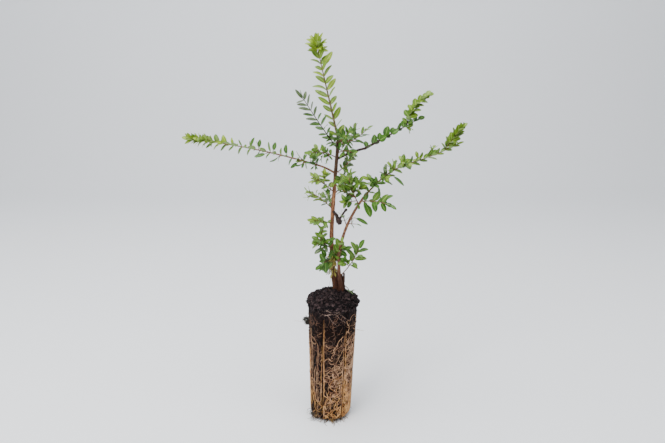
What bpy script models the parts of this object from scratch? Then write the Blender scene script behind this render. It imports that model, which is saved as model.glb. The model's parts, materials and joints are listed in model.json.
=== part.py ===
"""A box honeysuckle plug plant: a young shrub standing on the root ball of its tray cell.

Run it with blender --background --python part.py, or from Blender's text editor.
The sizes in the constants and tables are millimetres and degrees, and the scene is in metres.
The origin is the middle of the root ball's flat underside, +Z is up and -Y is the front.
"""

import math
import random
from dataclasses import dataclass, field

import bmesh
import bpy
from mathutils import Matrix, Vector
from mathutils.bvhtree import BVHTree

OBJECT_NAME = "box_honeysuckle_plug_plant"
MM = 0.001
GAP = 0.3  # between neighbouring sub-parts

# The root ball, as it comes out of a deep cell with six ribs
BALL_TOP_RADIUS = 25.0
BALL_LOW_RADIUS = 21.2
BALL_FOOT_RADIUS = 13.0
BALL_LOW_HEIGHT = 9.0  # where the rounded foot turns into the wall
BALL_RIM_HEIGHT = 129.0
BALL_CROWN_HEIGHT = 134.7  # of the level top that the stems stand on
BALL_CROWN_RADIUS = 15.5
BALL_SHOULDER = ((20.5, 3.6), (23.8, 1.6))  # radii between crown and rim, and heights above the rim
BALL_FOOT_TURNS = (25.0, 50.0, 75.0)  # where the rounded foot has its edges
BALL_LEAN = 1.2
BALL_STEPS = 48
RIBS = 6
FIRST_RIB = -84.0  # round from the front, towards +X
RIB_RADIUS = 2.2
RIB_DEPTH = 1.7
RIB_SIDES = 10
RIB_OVERRUN = 1.25  # a cutter's length for the height of the wall
LEVEL_CUT = 2.0  # the lowest stretch of a stem, which is cut level with the soil

# Leaves and twigs
LIMB_SIDES = 6
TWIG_SIDES = 3
LEAF_THICK = 0.5
LEAF_SIDES = 4
LEAF_ROOT = 0.3  # how far a leaf's foot runs past its twig's middle
LEAF_FILL = 1.25  # widens a four-sided leaf towards the area of an oval one
TIP_RADIUS = 0.3
STEP_LENGTH = 12.0  # of a twig between two rings
HEADING_STEP = 0.02  # share of a route on each side of a place, for its direction there
WELD = 0.001

# How the leaves stand
FREE_SHARE = 0.65  # the outer part of a leaf, which keeps clear of the leaves beside it
FIRST_LEAF = 0.78  # the lowest leaves for the longest one
FULL_AT = 0.4  # share of the leafy length where the leaves are longest
ROLL_CHANGE = 14.0  # either way, in degrees
LEAN_CHANGE = 9.0
LENGTH_CHANGE = (0.82, 1.08)
WIDTH_CHANGE = (0.88, 1.12)
FACE_CHANGE = 0.3
TIP_LEAN = 8.0  # of the leaf at a twig's tip
TIP_SINK = 0.4  # how far its foot stands back inside the twig
END_ON = 0.4  # a twig that crosses the front view by less than this is taken as end on
LEAST_SLANT = 0.35  # the flattest that a twig leaves its parent
FOOT_CLEAR = 0.15  # beyond GAP, for the corners of the two tubes
DISPLAY = Vector((0.0, -0.65, 0.76))  # where the upper faces of the leaves tend to look
FRONT = Vector((0.0, -1.0, 0.0))
UP = Vector((0.0, 0.0, 1.0))


@dataclass(frozen=True)
class Route:
    """A smooth line: a straight reach, bowed in the middle and swayed to and fro."""

    foot: Vector
    reach: Vector
    bow: Vector
    sway: Vector

    def at(self, share):
        bulge = 4.0 * share * (1.0 - share)
        swing = math.sin(2.0 * math.pi * share)
        return self.foot + share * self.reach + bulge * self.bow + swing * self.sway

    def heading(self, share):
        before, after = max(0.0, share - HEADING_STEP), min(1.0, share + HEADING_STEP)
        return (self.at(after) - self.at(before)).normalized()

    def points(self, count):
        return [self.at(i / (count - 1)) for i in range(count)]

    @property
    def length(self):
        points = self.points(9)
        return sum((b - a).length for a, b in zip(points, points[1:]))


@dataclass(frozen=True)
class Limb:
    """A bare stem or bough. It leaves its parent at a share of that one's length."""

    name: str
    parent: str
    at: float
    reach: tuple
    radii: tuple
    foot: tuple = None  # where it stands on the root ball
    bow: tuple = (0.0, 0.0, 0.0)
    sway: tuple = (0.0, 0.0, 0.0)
    flare: float = 0.0
    flare_height: float = 10.0
    color: tuple = (0.16, 0.07, 0.04)


@dataclass(frozen=True)
class Shoot:
    """A leafy twig, with opposite leaves in pairs that stand closer towards its tip."""

    reach: tuple
    pairs: int
    leaf: float
    at: float = 1.0
    bow: tuple = (0.0, 0.0, 0.0)
    sway: tuple = (0.0, 0.0, 0.0)
    radius: float = 0.6
    slim: float = 0.5  # a leaf's width for its length
    bare: float = 0.12  # share of the twig below its first pair
    crowd: float = 1.25  # over 1, the pairs crowd towards the tip
    spread: tuple = (62.0, 28.0)  # leaf angle from the twig, at its foot and tip
    roll: float = 0.0  # of the first pair round the twig, 0 lying across the front view
    turn: float = 90.0  # from each pair to the next
    display: float = 0.45  # how far the blades turn to the light
    tip_leaf: float = 0.65  # the tip's leaves for the longest leaf


@dataclass(frozen=True)
class Spray:
    """A mass of foliage: one stem, its side twigs, and the leaves of them all."""

    name: str
    parent: str
    stem: Shoot
    twigs: tuple = ()
    color: tuple = (0.10, 0.21, 0.03)


@dataclass
class Bench:
    """What the sub-parts are made with: their collection, the outlines of the tubes and a leaf's shape."""

    parts: bpy.types.Collection
    limb_outline: bpy.types.Object
    twig_outline: bpy.types.Object
    leaf: tuple


@dataclass
class Grown:
    """A finished sub-part that others keep clear of."""

    route: Route = None
    radii: tuple = (0.0, 0.0)
    tree: BVHTree = field(default=None, repr=False)


LIMBS = (
    Limb(
        "trunk", "root_ball", 0.0, (1.8, -4.0, 156.0), (2.1, 1.3), foot=(6.3, 8.0, 135.0),
        bow=(-5.0, 0.0, 0.0), sway=(-1.0, 0.0, 0.0), flare=1.7, flare_height=17.0,
    ),
    Limb(
        "second_stem", "root_ball", 0.0, (18.7, -17.0, 103.8), (1.6, 1.0), foot=(13.2, 5.0, 135.0),
        bow=(-11.0, 0.0, 0.0), sway=(1.0, 0.0, 0.0), flare=1.2, flare_height=17.0,
        color=(0.18, 0.10, 0.06),
    ),
    Limb(
        "left_bough", "trunk", 0.795, (-13.0, 1.7, 5.9), (0.95, 0.8),
        bow=(0.0, 0.0, 0.5), color=(0.09, 0.05, 0.03),
    ),
    Limb(
        "right_bough", "trunk", 0.885, (24.6, 6.6, 8.0), (1.0, 0.8),
        bow=(0.0, 0.0, 1.0), color=(0.09, 0.05, 0.03),
    ),
)

SPRAYS = (
    Spray(
        "leader_spray", "trunk",
        Shoot(
            (-19.6, -4.0, 85.0), pairs=16, leaf=13.0, radius=1.05, slim=0.42, bare=0.05, crowd=1.45,
            spread=(58.0, 42.0), roll=-14.0, turn=50.0, display=0.5, tip_leaf=1.1,
        ),
        color=(0.26, 0.36, 0.06),
    ),
    Spray(
        "left_spray", "left_bough",
        Shoot(
            (-126.5, 15.3, 23.2), pairs=19, leaf=11.8, bow=(0.0, 0.0, 3.2), radius=0.8, slim=0.4,
            bare=0.02, crowd=1.4, spread=(70.0, 26.0), roll=2.0, turn=76.0, display=0.35, tip_leaf=0.8,
        ),
    ),
    Spray(
        "right_spray", "right_bough",
        Shoot(
            (53.0, 15.0, 26.5), pairs=9, leaf=10.0, radius=0.8, slim=0.62,
            bare=0.03, crowd=1.1, spread=(62.0, 30.0), roll=50.0, turn=80.0, display=0.75,
        ),
        twigs=(
            Shoot(
                (20.0, 1.5, 29.0), at=0.78, pairs=9, leaf=9.4, bow=(-3.6, 0.0, 1.8), slim=0.8,
                bare=0.06, crowd=1.15, spread=(60.0, 26.0), roll=20.0, turn=74.0, display=0.8,
            ),
        ),
        color=(0.12, 0.25, 0.03),
    ),
    Spray(
        "lower_right_spray", "second_stem",
        Shoot(
            (81.0, -20.0, 53.0), pairs=16, leaf=11.4, bow=(0.0, 0.0, 7.6), sway=(0.0, 0.0, 3.2),
            radius=0.95, slim=0.5, bare=0.05, crowd=1.05, spread=(66.0, 26.0),
            roll=10.0, turn=76.0, display=0.5,
        ),
        twigs=(
            Shoot(
                (14.5, -4.0, 21.0), at=0.87, pairs=9, leaf=9.6, slim=0.7, bare=0.04, crowd=1.1,
                spread=(54.0, 14.0), roll=0.0, turn=70.0, display=0.6,
            ),
            Shoot((-6.0, -6.0, 8.0), at=0.12, pairs=3, leaf=9.5, radius=0.45, bare=0.3, roll=30.0),
            Shoot((4.0, 9.0, 7.0), at=0.30, pairs=3, leaf=8.5, radius=0.45, bare=0.3),
        ),
        color=(0.12, 0.24, 0.03),
    ),
    Spray(
        "upper_left_spray", "trunk",
        Shoot(
            (-28.5, -18.0, 44.5), at=0.945, pairs=9, leaf=9.6, bow=(-0.2, 0.0, -0.6), radius=0.6,
            slim=0.36, bare=0.08, crowd=1.0, spread=(60.0, 40.0), roll=6.0, turn=24.0, display=0.08,
            tip_leaf=0.95,
        ),
    ),
    Spray(
        "crown_right_spray", "trunk",
        Shoot(
            (27.5, 18.0, 12.5), at=0.97, pairs=6, leaf=9.8, bow=(0.0, 0.0, -3.2), radius=0.6,
            slim=0.42, bare=0.25, crowd=1.05, roll=10.0, turn=66.0, display=0.3,
        ),
        twigs=(
            Shoot((5.0, 6.0, 13.0), at=0.34, pairs=4, leaf=9.4, radius=0.45, slim=0.45, bare=0.25),
            Shoot((9.0, -2.0, 7.0), at=0.18, pairs=3, leaf=9.0, radius=0.45, slim=0.4, bare=0.3),
        ),
    ),
    Spray(
        "crown_front_spray", "trunk",
        Shoot(
            (8.0, -13.0, 11.0), at=0.985, pairs=5, leaf=8.8, bow=(0.8, 0.0, -1.0), radius=0.55,
            slim=0.5, bare=0.2, crowd=1.0, roll=20.0, display=0.5,
        ),
    ),
    Spray(
        "crown_low_spray", "trunk",
        Shoot(
            (14.0, -12.0, 1.0), at=0.925, pairs=4, leaf=8.6, bow=(0.0, 0.0, 2.0), radius=0.5,
            slim=0.45, bare=0.3, crowd=1.0, roll=60.0, display=0.5,
        ),
    ),
    Spray(
        "crown_back_spray", "trunk",
        Shoot(
            (4.0, 27.0, 17.0), at=0.93, pairs=6, leaf=9.6, bow=(0.0, 0.0, -2.0), radius=0.6,
            slim=0.5, bare=0.2, roll=0.0, display=0.5,
        ),
        twigs=(
            Shoot((-8.0, 9.0, 6.0), at=0.35, pairs=3, leaf=8.8, radius=0.45, bare=0.3),
        ),
    ),
    Spray(
        "inner_left_spray", "trunk",
        Shoot(
            (-24.0, -14.0, 6.0), at=0.895, pairs=6, leaf=8.6, bow=(0.0, 0.0, 2.4), radius=0.55,
            slim=0.6, bare=0.2, crowd=1.0, roll=30.0, turn=70.0, display=0.65,
        ),
    ),
    Spray(
        "fork_spray", "trunk",
        Shoot(
            (16.0, -16.5, 20.0), at=0.79, pairs=6, leaf=7.6, bow=(0.6, 0.0, -1.2), radius=0.6,
            slim=0.5, bare=0.25, crowd=1.0, roll=15.0, turn=60.0, display=0.5,
        ),
        color=(0.13, 0.20, 0.04),
    ),
    Spray(
        "trunk_front_spray", "trunk",
        Shoot(
            (8.5, -10.0, 0.5), at=0.755, pairs=4, leaf=11.0, bow=(0.0, 0.0, 1.2), radius=0.5,
            slim=0.42, bare=0.2, crowd=1.0, spread=(80.0, 60.0), roll=70.0, turn=50.0, display=0.7,
        ),
    ),
    Spray(
        "mid_left_upper_spray", "trunk",
        Shoot(
            (-18.0, -17.0, 17.0), at=0.675, pairs=6, leaf=9.6, bow=(-1.2, 0.0, 1.8), radius=0.55,
            slim=0.55, bare=0.2, crowd=1.05, roll=30.0, turn=70.0, display=0.6,
        ),
        twigs=(
            Shoot((0.5, -6.0, 10.5), at=0.38, pairs=5, leaf=8.6, radius=0.4, slim=0.7, bare=0.3),
        ),
        color=(0.17, 0.30, 0.03),
    ),
    Spray(
        "mid_left_lower_spray", "trunk",
        Shoot(
            (-20.5, -14.0, 19.0), at=0.565, pairs=7, leaf=9.4, bow=(0.4, 0.0, 1.2), radius=0.5,
            slim=0.36, bare=0.2, crowd=1.1, spread=(50.0, 24.0), roll=8.0, turn=40.0, display=0.2,
            tip_leaf=0.85,
        ),
        color=(0.20, 0.27, 0.08),
    ),
    Spray(
        "mid_back_spray", "trunk",
        Shoot(
            (-10.0, 22.0, 4.0), at=0.585, pairs=5, leaf=8.8, bow=(0.0, 0.0, 1.6), radius=0.5,
            slim=0.5, bare=0.2, roll=40.0, display=0.5,
        ),
        twigs=(
            Shoot((-1.0, 8.0, 7.0), at=0.4, pairs=3, leaf=8.0, radius=0.45, bare=0.3),
        ),
    ),
    Spray(
        "back_right_spray", "trunk",
        Shoot(
            (20.0, 29.0, 9.0), at=0.66, pairs=6, leaf=10.2, bow=(0.0, 0.0, 2.0), radius=0.6,
            slim=0.52, bare=0.2, roll=20.0, turn=80.0, display=0.5,
        ),
        twigs=(
            Shoot((1.0, 11.0, 8.0), at=0.4, pairs=4, leaf=8.8, radius=0.45, bare=0.25),
        ),
    ),
    Spray(
        "inner_right_spray", "second_stem",
        Shoot(
            (-8.5, -3.0, 22.0), at=0.93, pairs=5, leaf=12.0, bow=(-0.6, 0.0, 0.0), radius=0.6,
            slim=0.55, bare=0.25, crowd=1.0, roll=30.0, turn=62.0, display=0.75,
        ),
        twigs=(
            Shoot((-13.5, 2.0, 7.5), at=0.22, pairs=4, leaf=10.4, radius=0.5, slim=0.5, bare=0.35),
            Shoot((-12.0, -6.0, 0.0), at=0.08, pairs=4, leaf=9.6, radius=0.5, slim=0.55, bare=0.4),
            Shoot((8.0, -5.0, 6.0), at=0.45, pairs=3, leaf=10.0, radius=0.45, slim=0.5, bare=0.3),
        ),
        color=(0.14, 0.28, 0.03),
    ),
    Spray(
        "under_spray", "second_stem",
        Shoot(
            (24.0, -17.0, 0.5), at=0.965, pairs=6, leaf=12.4, bow=(0.0, 0.0, 1.6), radius=0.6,
            slim=0.52, bare=0.06, crowd=1.0, spread=(72.0, 40.0), roll=20.0, turn=76.0, display=0.6,
        ),
        color=(0.07, 0.19, 0.03),
    ),
    Spray(
        "second_stem_spray", "second_stem",
        Shoot(
            (-3.5, 4.0, 10.0), at=0.71, pairs=3, leaf=7.4, radius=0.45, slim=0.3, bare=0.3,
            crowd=1.0, spread=(70.0, 30.0), display=0.1,
        ),
    ),
    Spray(
        "second_stem_side_spray", "second_stem",
        Shoot(
            (6.0, -5.0, 1.0), at=0.74, pairs=2, leaf=9.6, radius=0.45, slim=0.32, bare=0.2,
            crowd=1.0, spread=(40.0, 24.0), roll=0.0, display=0.15, tip_leaf=0.9,
        ),
    ),
    Spray(
        "low_left_upper_spray", "trunk",
        Shoot(
            (-16.0, -17.0, 7.0), at=0.47, pairs=5, leaf=10.6, bow=(0.0, 0.0, 0.8), radius=0.5,
            slim=0.48, bare=0.2, crowd=1.0, roll=40.0, turn=70.0, display=0.45, tip_leaf=0.85,
        ),
        color=(0.15, 0.28, 0.04),
    ),
    Spray(
        "low_left_lower_spray", "trunk",
        Shoot(
            (-7.5, -17.0, 24.0), at=0.285, pairs=7, leaf=11.2, bow=(-4.5, 0.0, -0.8), radius=0.55,
            slim=0.5, bare=0.1, crowd=1.0, spread=(64.0, 36.0), roll=20.0, turn=66.0, display=0.5,
        ),
        twigs=(
            Shoot((-8.0, -5.0, 1.0), at=0.3, pairs=3, leaf=9.0, radius=0.4, slim=0.45, bare=0.3),
        ),
        color=(0.07, 0.18, 0.02),
    ),
    Spray(
        "base_left_spray", "trunk",
        Shoot(
            (-10.0, -12.0, -3.0), at=0.235, pairs=6, leaf=11.6, bow=(0.0, 0.0, 1.2), radius=0.5,
            slim=0.45, bare=0.1, crowd=1.0, spread=(84.0, 50.0), roll=0.0, turn=60.0, display=0.7,
        ),
        color=(0.07, 0.18, 0.02),
    ),
    Spray(
        "base_front_spray", "trunk",
        Shoot(
            (7.0, -12.5, 23.0), at=0.195, pairs=6, leaf=12.0, bow=(1.0, 0.0, 0.0), radius=0.5,
            slim=0.55, bare=0.12, crowd=1.0, spread=(60.0, 26.0), roll=20.0, turn=74.0, display=0.7,
        ),
        color=(0.10, 0.22, 0.03),
    ),
    Spray(
        "base_right_spray", "second_stem",
        Shoot(
            (16.5, -11.0, 31.0), at=0.17, pairs=5, leaf=12.6, bow=(1.4, 0.0, -1.0), radius=0.6,
            slim=0.48, bare=0.4, crowd=0.95, spread=(70.0, 34.0), roll=5.0, turn=50.0, display=0.55,
            tip_leaf=0.85,
        ),
        twigs=(
            Shoot((-5.0, -4.0, 6.0), at=0.35, pairs=3, leaf=10.0, radius=0.4, slim=0.6, bare=0.4),
        ),
        color=(0.08, 0.20, 0.03),
    ),
    Spray(
        "base_back_spray", "trunk",
        Shoot(
            (3.0, 24.0, 12.0), at=0.16, pairs=5, leaf=10.0, bow=(0.0, 0.0, 1.0), radius=0.55,
            slim=0.5, bare=0.2, roll=30.0, display=0.5,
        ),
        twigs=(
            Shoot((7.0, 6.0, 5.0), at=0.55, pairs=3, leaf=8.6, radius=0.45, bare=0.3),
        ),
    ),
)

# The pruned dead stub on the trunk, and its withered shoot
STUB_AT = 0.56
STUB_REACH = (6.4, -9.0, -9.5)
STUB_RADII = (0.8, 1.1, 1.9, 1.1)
CURL_AT = 0.8
CURL_REACH = (6.0, -2.5, 13.0)
CURL_BOW = (-1.6, 0.0, -1.0)
CURL_RADII = (0.75, 0.7, 0.6, 0.5, 0.4)


def clear_scene():
    for obj in list(bpy.data.objects):
        bpy.data.objects.remove(obj)


def new_collection(name):
    collection = bpy.data.collections.new(name)
    bpy.context.scene.collection.children.link(collection)
    return collection


def new_material(name, color, roughness=0.6):
    material = bpy.data.materials.new(name)
    material.use_nodes = True
    shader = material.node_tree.nodes["Principled BSDF"]
    shader.inputs["Base Color"].default_value = (*color, 1.0)
    shader.inputs["Roughness"].default_value = roughness
    return material


def new_object(name, mesh, collection):
    obj = bpy.data.objects.new(name, mesh)
    collection.objects.link(obj)
    return obj


def applied(obj, collection):
    """A mesh object in place of obj, with its modifiers applied or its curve meshed."""
    bpy.context.view_layer.update()
    graph = bpy.context.evaluated_depsgraph_get()
    mesh = bpy.data.meshes.new_from_object(obj.evaluated_get(graph))
    name, place = obj.name, obj.matrix_world.copy()
    bpy.data.objects.remove(obj)
    made = new_object(name, mesh, collection)
    made.matrix_world = place
    return made


def polygon_guide(sides, guides):
    """A closed outline of 1 mm radius, swept along a curve to make a tube with that many sides."""
    curve = bpy.data.curves.new("outline", "CURVE")
    curve.dimensions = "2D"
    spline = curve.splines.new("POLY")
    spline.points.add(sides - 1)
    spline.use_cyclic_u = True
    for k, place in enumerate(spline.points):
        turn = 2.0 * math.pi * k / sides
        place.co = (MM * math.cos(turn), MM * math.sin(turn), 0.0, 1.0)
    guide = new_object("outline", curve, guides)
    guide.hide_render = True
    guide.display_type = "WIRE"
    return guide


def tube(name, points, radii, outline, collection):
    """A closed tapering tube through points, with as many sides as its outline, its caps welded on."""
    curve = bpy.data.curves.new(name, "CURVE")
    curve.dimensions = "3D"
    curve.bevel_mode = "OBJECT"
    curve.bevel_object = outline
    curve.use_fill_caps = True
    spline = curve.splines.new("POLY")
    spline.points.add(len(points) - 1)
    for place, point, radius in zip(spline.points, points, radii):
        place.co = (*(point * MM), 1.0)
        place.radius = radius
    made = applied(new_object(name, curve, collection), collection)
    shape = bmesh.new()
    shape.from_mesh(made.data)
    bmesh.ops.remove_doubles(shape, verts=shape.verts, dist=WELD * MM)
    bmesh.ops.recalc_face_normals(shape, faces=shape.faces)
    shape.to_mesh(made.data)
    shape.free()
    return made


def tree_of(meshes):
    """One search tree of several (points, faces) pairs."""
    points, faces = [], []
    for some_points, some_faces in meshes:
        faces += [[len(points) + i for i in face] for face in some_faces]
        points += some_points
    return BVHTree.FromPolygons(points, faces)


def mesh_tree(obj):
    """The search tree of an object's own mesh, in millimetres."""
    points = [obj.matrix_world @ v.co / MM for v in obj.data.vertices]
    return tree_of([(points, [list(p.vertices) for p in obj.data.polygons])])


def swollen_tube(points, radii, by):
    """(points, faces) of a four-sided skin round a twig, wider than it by a clearance."""
    skin, faces = [], []
    for i, (point, radius) in enumerate(zip(points, radii)):
        ahead = (points[min(i + 1, len(points) - 1)] - points[max(i - 1, 0)]).normalized()
        side = ahead.orthogonal().normalized()
        other = ahead.cross(side)
        skin += [point + (radius + by) * arm for arm in (side, other, -side, -other)]
    for i in range(len(points) - 1):
        for k in range(4):
            a, b = 4 * i + k, 4 * i + (k + 1) % 4
            faces.append([a, b, b + 4, a + 4])
    return skin, faces


def leaf_shape():
    """(points, faces) of a leaf of length, width and thickness 1 with its foot at the origin, along +X."""
    shape = bmesh.new()
    bmesh.ops.create_uvsphere(shape, u_segments=LEAF_SIDES, v_segments=2, radius=0.5)
    points = [v.co + Vector((0.5, 0.0, 0.0)) for v in shape.verts]
    shape.verts.index_update()
    faces = [[v.index for v in face.verts] for face in shape.faces]
    shape.free()
    return points, faces


@dataclass(frozen=True)
class Leaf:
    """One leaf's place: its foot, its axis, the way its face looks, and its sizes."""

    foot: Vector
    axis: Vector
    normal: Vector
    length: float
    width: float

    def skin(self, shape, by=0.0):
        """(points, faces) of the leaf, swollen by a clearance all round."""
        points, faces = shape
        across = self.normal.cross(self.axis)
        length = self.length + LEAF_ROOT + by
        start = self.foot - LEAF_ROOT * self.axis
        columns = (
            length * self.axis,
            (LEAF_FILL * self.width + 2.0 * by) * across,
            (LEAF_THICK + 2.0 * by) * self.normal,
        )
        turn = Matrix(columns).transposed()
        return [start + turn @ p for p in points], faces

    def blade(self):
        """The outer part of the leaf, which keeps clear of the leaves beside it."""
        foot = self.foot + (1.0 - FREE_SHARE) * self.length * self.axis
        return Leaf(foot, self.axis, self.normal, FREE_SHARE * self.length, self.width)


def twig_frame(heading):
    """Two directions across a twig: one across the front view where it can be, and the other."""
    across = heading.cross(FRONT)
    if across.length < END_ON:
        across = heading.cross(UP)
    across.normalize()
    return across, across.cross(heading)


def leaf_share(far, tip_leaf):
    """How long a leaf is for the longest one, at a share of the leafy length."""
    if far < FULL_AT:
        return FIRST_LEAF + (1.0 - FIRST_LEAF) * far / FULL_AT
    return 1.0 - (1.0 - tip_leaf) * (far - FULL_AT) / (1.0 - FULL_AT)


def leaves_of(shoot, route, rng):
    """The leaves of one twig, pair by pair, and the one at its tip."""
    for k in range(shoot.pairs):
        far = 1.0 - (1.0 - k / shoot.pairs) ** shoot.crowd
        share = shoot.bare + (1.0 - shoot.bare) * far
        heading = route.heading(share)
        across, other = twig_frame(heading)
        quarter = shoot.turn if k % 2 else 0.0
        roll = math.radians(shoot.roll + quarter + rng.uniform(-ROLL_CHANGE, ROLL_CHANGE))
        size = shoot.leaf * leaf_share(far, shoot.tip_leaf)
        for side in (1.0, -1.0):
            arm = side * (math.cos(roll) * across + math.sin(roll) * other)
            lean = shoot.spread[0] + (shoot.spread[1] - shoot.spread[0]) * far
            angle = math.radians(lean + rng.uniform(-LEAN_CHANGE, LEAN_CHANGE))
            length = size * rng.uniform(*LENGTH_CHANGE)
            yield new_leaf(route.at(share), heading, arm, angle, length, shoot, rng)
    end, size = route.heading(1.0), shoot.tip_leaf * shoot.leaf
    tip = route.at(1.0) - TIP_SINK * end
    across, _ = twig_frame(end)
    yield new_leaf(tip, end, across, math.radians(TIP_LEAN), size, shoot, rng)


def new_leaf(foot, heading, arm, angle, length, shoot, rng):
    """A leaf that leaves its twig at an angle towards arm, its face partly turned to the light."""
    axis = math.cos(angle) * heading + math.sin(angle) * arm
    inner = heading - heading.dot(axis) * axis
    wild = Vector([rng.uniform(-FACE_CHANGE, FACE_CHANGE) for _ in range(3)])
    facing = inner.normalized() * (1.0 - shoot.display) + DISPLAY * shoot.display + wild
    normal = (facing - facing.dot(axis) * axis).normalized()
    width = length * shoot.slim * rng.uniform(*WIDTH_CHANGE)
    return Leaf(foot, axis, normal, length, width)


def foot_on(parent, at, reach, radius):
    """Where a twig starts: clear of its parent's bark by GAP, or beyond its parent's tip."""
    share = min(at, 1.0)
    route, heading = parent.route, parent.route.heading(share)
    direction = reach.normalized()
    if at >= 1.0:
        return route.at(1.0) + GAP * heading
    thick = limb_radius(parent, share)
    slant = max(LEAST_SLANT, direction.cross(heading).length)
    lean = abs(direction.dot(heading))
    away = (thick + GAP + radius * lean) / slant + FOOT_CLEAR
    return route.at(share) + direction * away


def limb_radius(grown, share):
    """The radius of a limb at a share of its length, with its root flare."""
    foot, tip, flare, flare_height = grown.radii
    height = share * grown.route.length
    return foot + (tip - foot) * share + flare * math.exp(-((height / flare_height) ** 2))


def route_of(foot, shape):
    return Route(foot, Vector(shape.reach), Vector(shape.bow), Vector(shape.sway))


def lean_matrix():
    """The slant of the whole root ball, which leaves its underside level."""
    slant = Matrix.Identity(4)
    slant[0][2] = math.tan(math.radians(BALL_LEAN))
    return slant


def ball_profile():
    """The root ball's outline from its top's middle down to its underside's middle."""
    rows = [(0.0, BALL_CROWN_HEIGHT), (BALL_CROWN_RADIUS, BALL_CROWN_HEIGHT)]
    rows += [(radius, BALL_RIM_HEIGHT + above) for radius, above in BALL_SHOULDER]
    rows += [(BALL_TOP_RADIUS, BALL_RIM_HEIGHT), (BALL_LOW_RADIUS, BALL_LOW_HEIGHT)]
    for turn in BALL_FOOT_TURNS:
        out = math.cos(math.radians(turn))
        down = math.sin(math.radians(turn))
        radius = BALL_FOOT_RADIUS + (BALL_LOW_RADIUS - BALL_FOOT_RADIUS) * out
        rows.append((radius, BALL_LOW_HEIGHT * (1.0 - down)))
    return rows + [(BALL_FOOT_RADIUS, 0.0), (0.0, 0.0)]


def make_root_ball(parts):
    ribs = new_collection("ribs")
    mesh = bpy.data.meshes.new("root_ball")
    outline = [Vector((x, 0.0, z)) * MM for x, z in ball_profile()]
    mesh.from_pydata(outline, [(i, i + 1) for i in range(len(outline) - 1)], [])
    ball = new_object("root_ball", mesh, parts)
    screw = ball.modifiers.new("turn", "SCREW")
    screw.steps = BALL_STEPS
    screw.render_steps = BALL_STEPS
    screw.use_merge_vertices = True
    screw.merge_threshold = WELD * MM
    ball = applied(ball, parts)
    height = BALL_RIM_HEIGHT - BALL_LOW_HEIGHT
    taper = math.atan2(BALL_TOP_RADIUS - BALL_LOW_RADIUS, height)
    middle = 0.5 * (BALL_TOP_RADIUS + BALL_LOW_RADIUS) + RIB_RADIUS - RIB_DEPTH
    for k in range(RIBS):
        round_axis = math.radians(FIRST_RIB + 360.0 * k / RIBS)
        shape = bmesh.new()
        bmesh.ops.create_cone(
            shape, cap_ends=True, segments=RIB_SIDES, radius1=RIB_RADIUS * MM, radius2=RIB_RADIUS * MM,
            depth=RIB_OVERRUN * height * MM,
        )
        place = (
            Matrix.Rotation(round_axis, 4, "Z")
            @ Matrix.Translation(Vector((0.0, -middle, BALL_LOW_HEIGHT + 0.5 * height)) * MM)
            @ Matrix.Rotation(taper, 4, "X")
        )
        bmesh.ops.transform(shape, matrix=place, verts=shape.verts)
        cutter_mesh = bpy.data.meshes.new(f"rib_{k}")
        shape.to_mesh(cutter_mesh)
        shape.free()
        cutter = new_object(f"rib_{k}", cutter_mesh, ribs)
        cutter.hide_render = True
        cutter.display_type = "WIRE"
    cut = ball.modifiers.new("ribs", "BOOLEAN")
    cut.operand_type = "COLLECTION"
    cut.collection = ribs
    cut.operation = "DIFFERENCE"
    ball = applied(ball, parts)
    ball.data.transform(lean_matrix())
    for cutter in list(ribs.objects):
        bpy.data.objects.remove(cutter)
    bpy.data.collections.remove(ribs)
    ball.data.materials.clear()
    ball.data.materials.append(new_material("compost", (0.020, 0.013, 0.012), 0.95))
    return ball


def main_body(mesh):
    """Keeps the mesh's largest body: a loose scrap goes, and dropping a sealed hollow's skin fills it."""
    shape = bmesh.new()
    shape.from_mesh(mesh)
    left, bodies = set(shape.verts), []
    while left:
        stack, body = [left.pop()], set()
        while stack:
            vert = stack.pop()
            body.add(vert)
            near = {edge.other_vert(vert) for edge in vert.link_edges} & left
            left -= near
            stack += near
        bodies.append(body)
    bodies.sort(key=len)
    scraps = [vert for body in bodies[:-1] for vert in body]
    bmesh.ops.delete(shape, geom=scraps, context="VERTS")
    bmesh.ops.triangulate(shape, faces=shape.faces)
    shape.to_mesh(mesh)
    shape.free()


def fused(name, pieces, parts, solver="MANIFOLD"):
    """One body from a stem and the pieces that run into it."""
    base, others = pieces[0], pieces[1:]
    group = new_collection("fusing")
    for piece in others:
        parts.objects.unlink(piece)
        group.objects.link(piece)
    join = base.modifiers.new("join", "BOOLEAN")
    join.operand_type = "COLLECTION"
    join.collection = group
    join.operation = "UNION"
    join.solver = solver
    made = applied(base, parts)
    for piece in list(group.objects):
        bpy.data.objects.remove(piece)
    bpy.data.collections.remove(group)
    main_body(made.data)
    made.name = name
    return made


def steps_along(route):
    return max(3, round(route.length / STEP_LENGTH) + 1)


def make_limb(limb, grown, bench):
    reach = Vector(limb.reach)
    if limb.foot:
        foot = Vector(limb.foot)
    else:
        foot = foot_on(grown[limb.parent], limb.at, reach, limb.radii[0])
    route = route_of(foot, limb)
    kept = Grown(route, (*limb.radii, limb.flare, limb.flare_height))
    count = 2 * steps_along(route)
    points = route.points(count)
    radii = [limb_radius(kept, i / (count - 1)) for i in range(count)]
    made = tube(limb.name, points, radii, bench.limb_outline, bench.parts)
    if limb.foot:
        level_foot(made, foot.z)
    made.data.materials.append(new_material(limb.name + "_bark", limb.color, 0.7))
    kept.tree = tree_of([swollen_tube(points, radii, 0.0)])
    grown[limb.name] = kept


def level_foot(obj, height):
    """Cuts a stem's foot level with the soil."""
    shape = bmesh.new()
    shape.from_mesh(obj.data)
    lowest = [v for v in shape.verts if v.co.z < (height + LEVEL_CUT) * MM]
    for vert in lowest:
        vert.co.z = height * MM
    bmesh.ops.recalc_face_normals(shape, faces=shape.faces)
    shape.to_mesh(obj.data)
    shape.free()


def touches(skin, others):
    tree = tree_of([skin])
    return any(tree.overlap(other.tree) for other in others)


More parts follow.
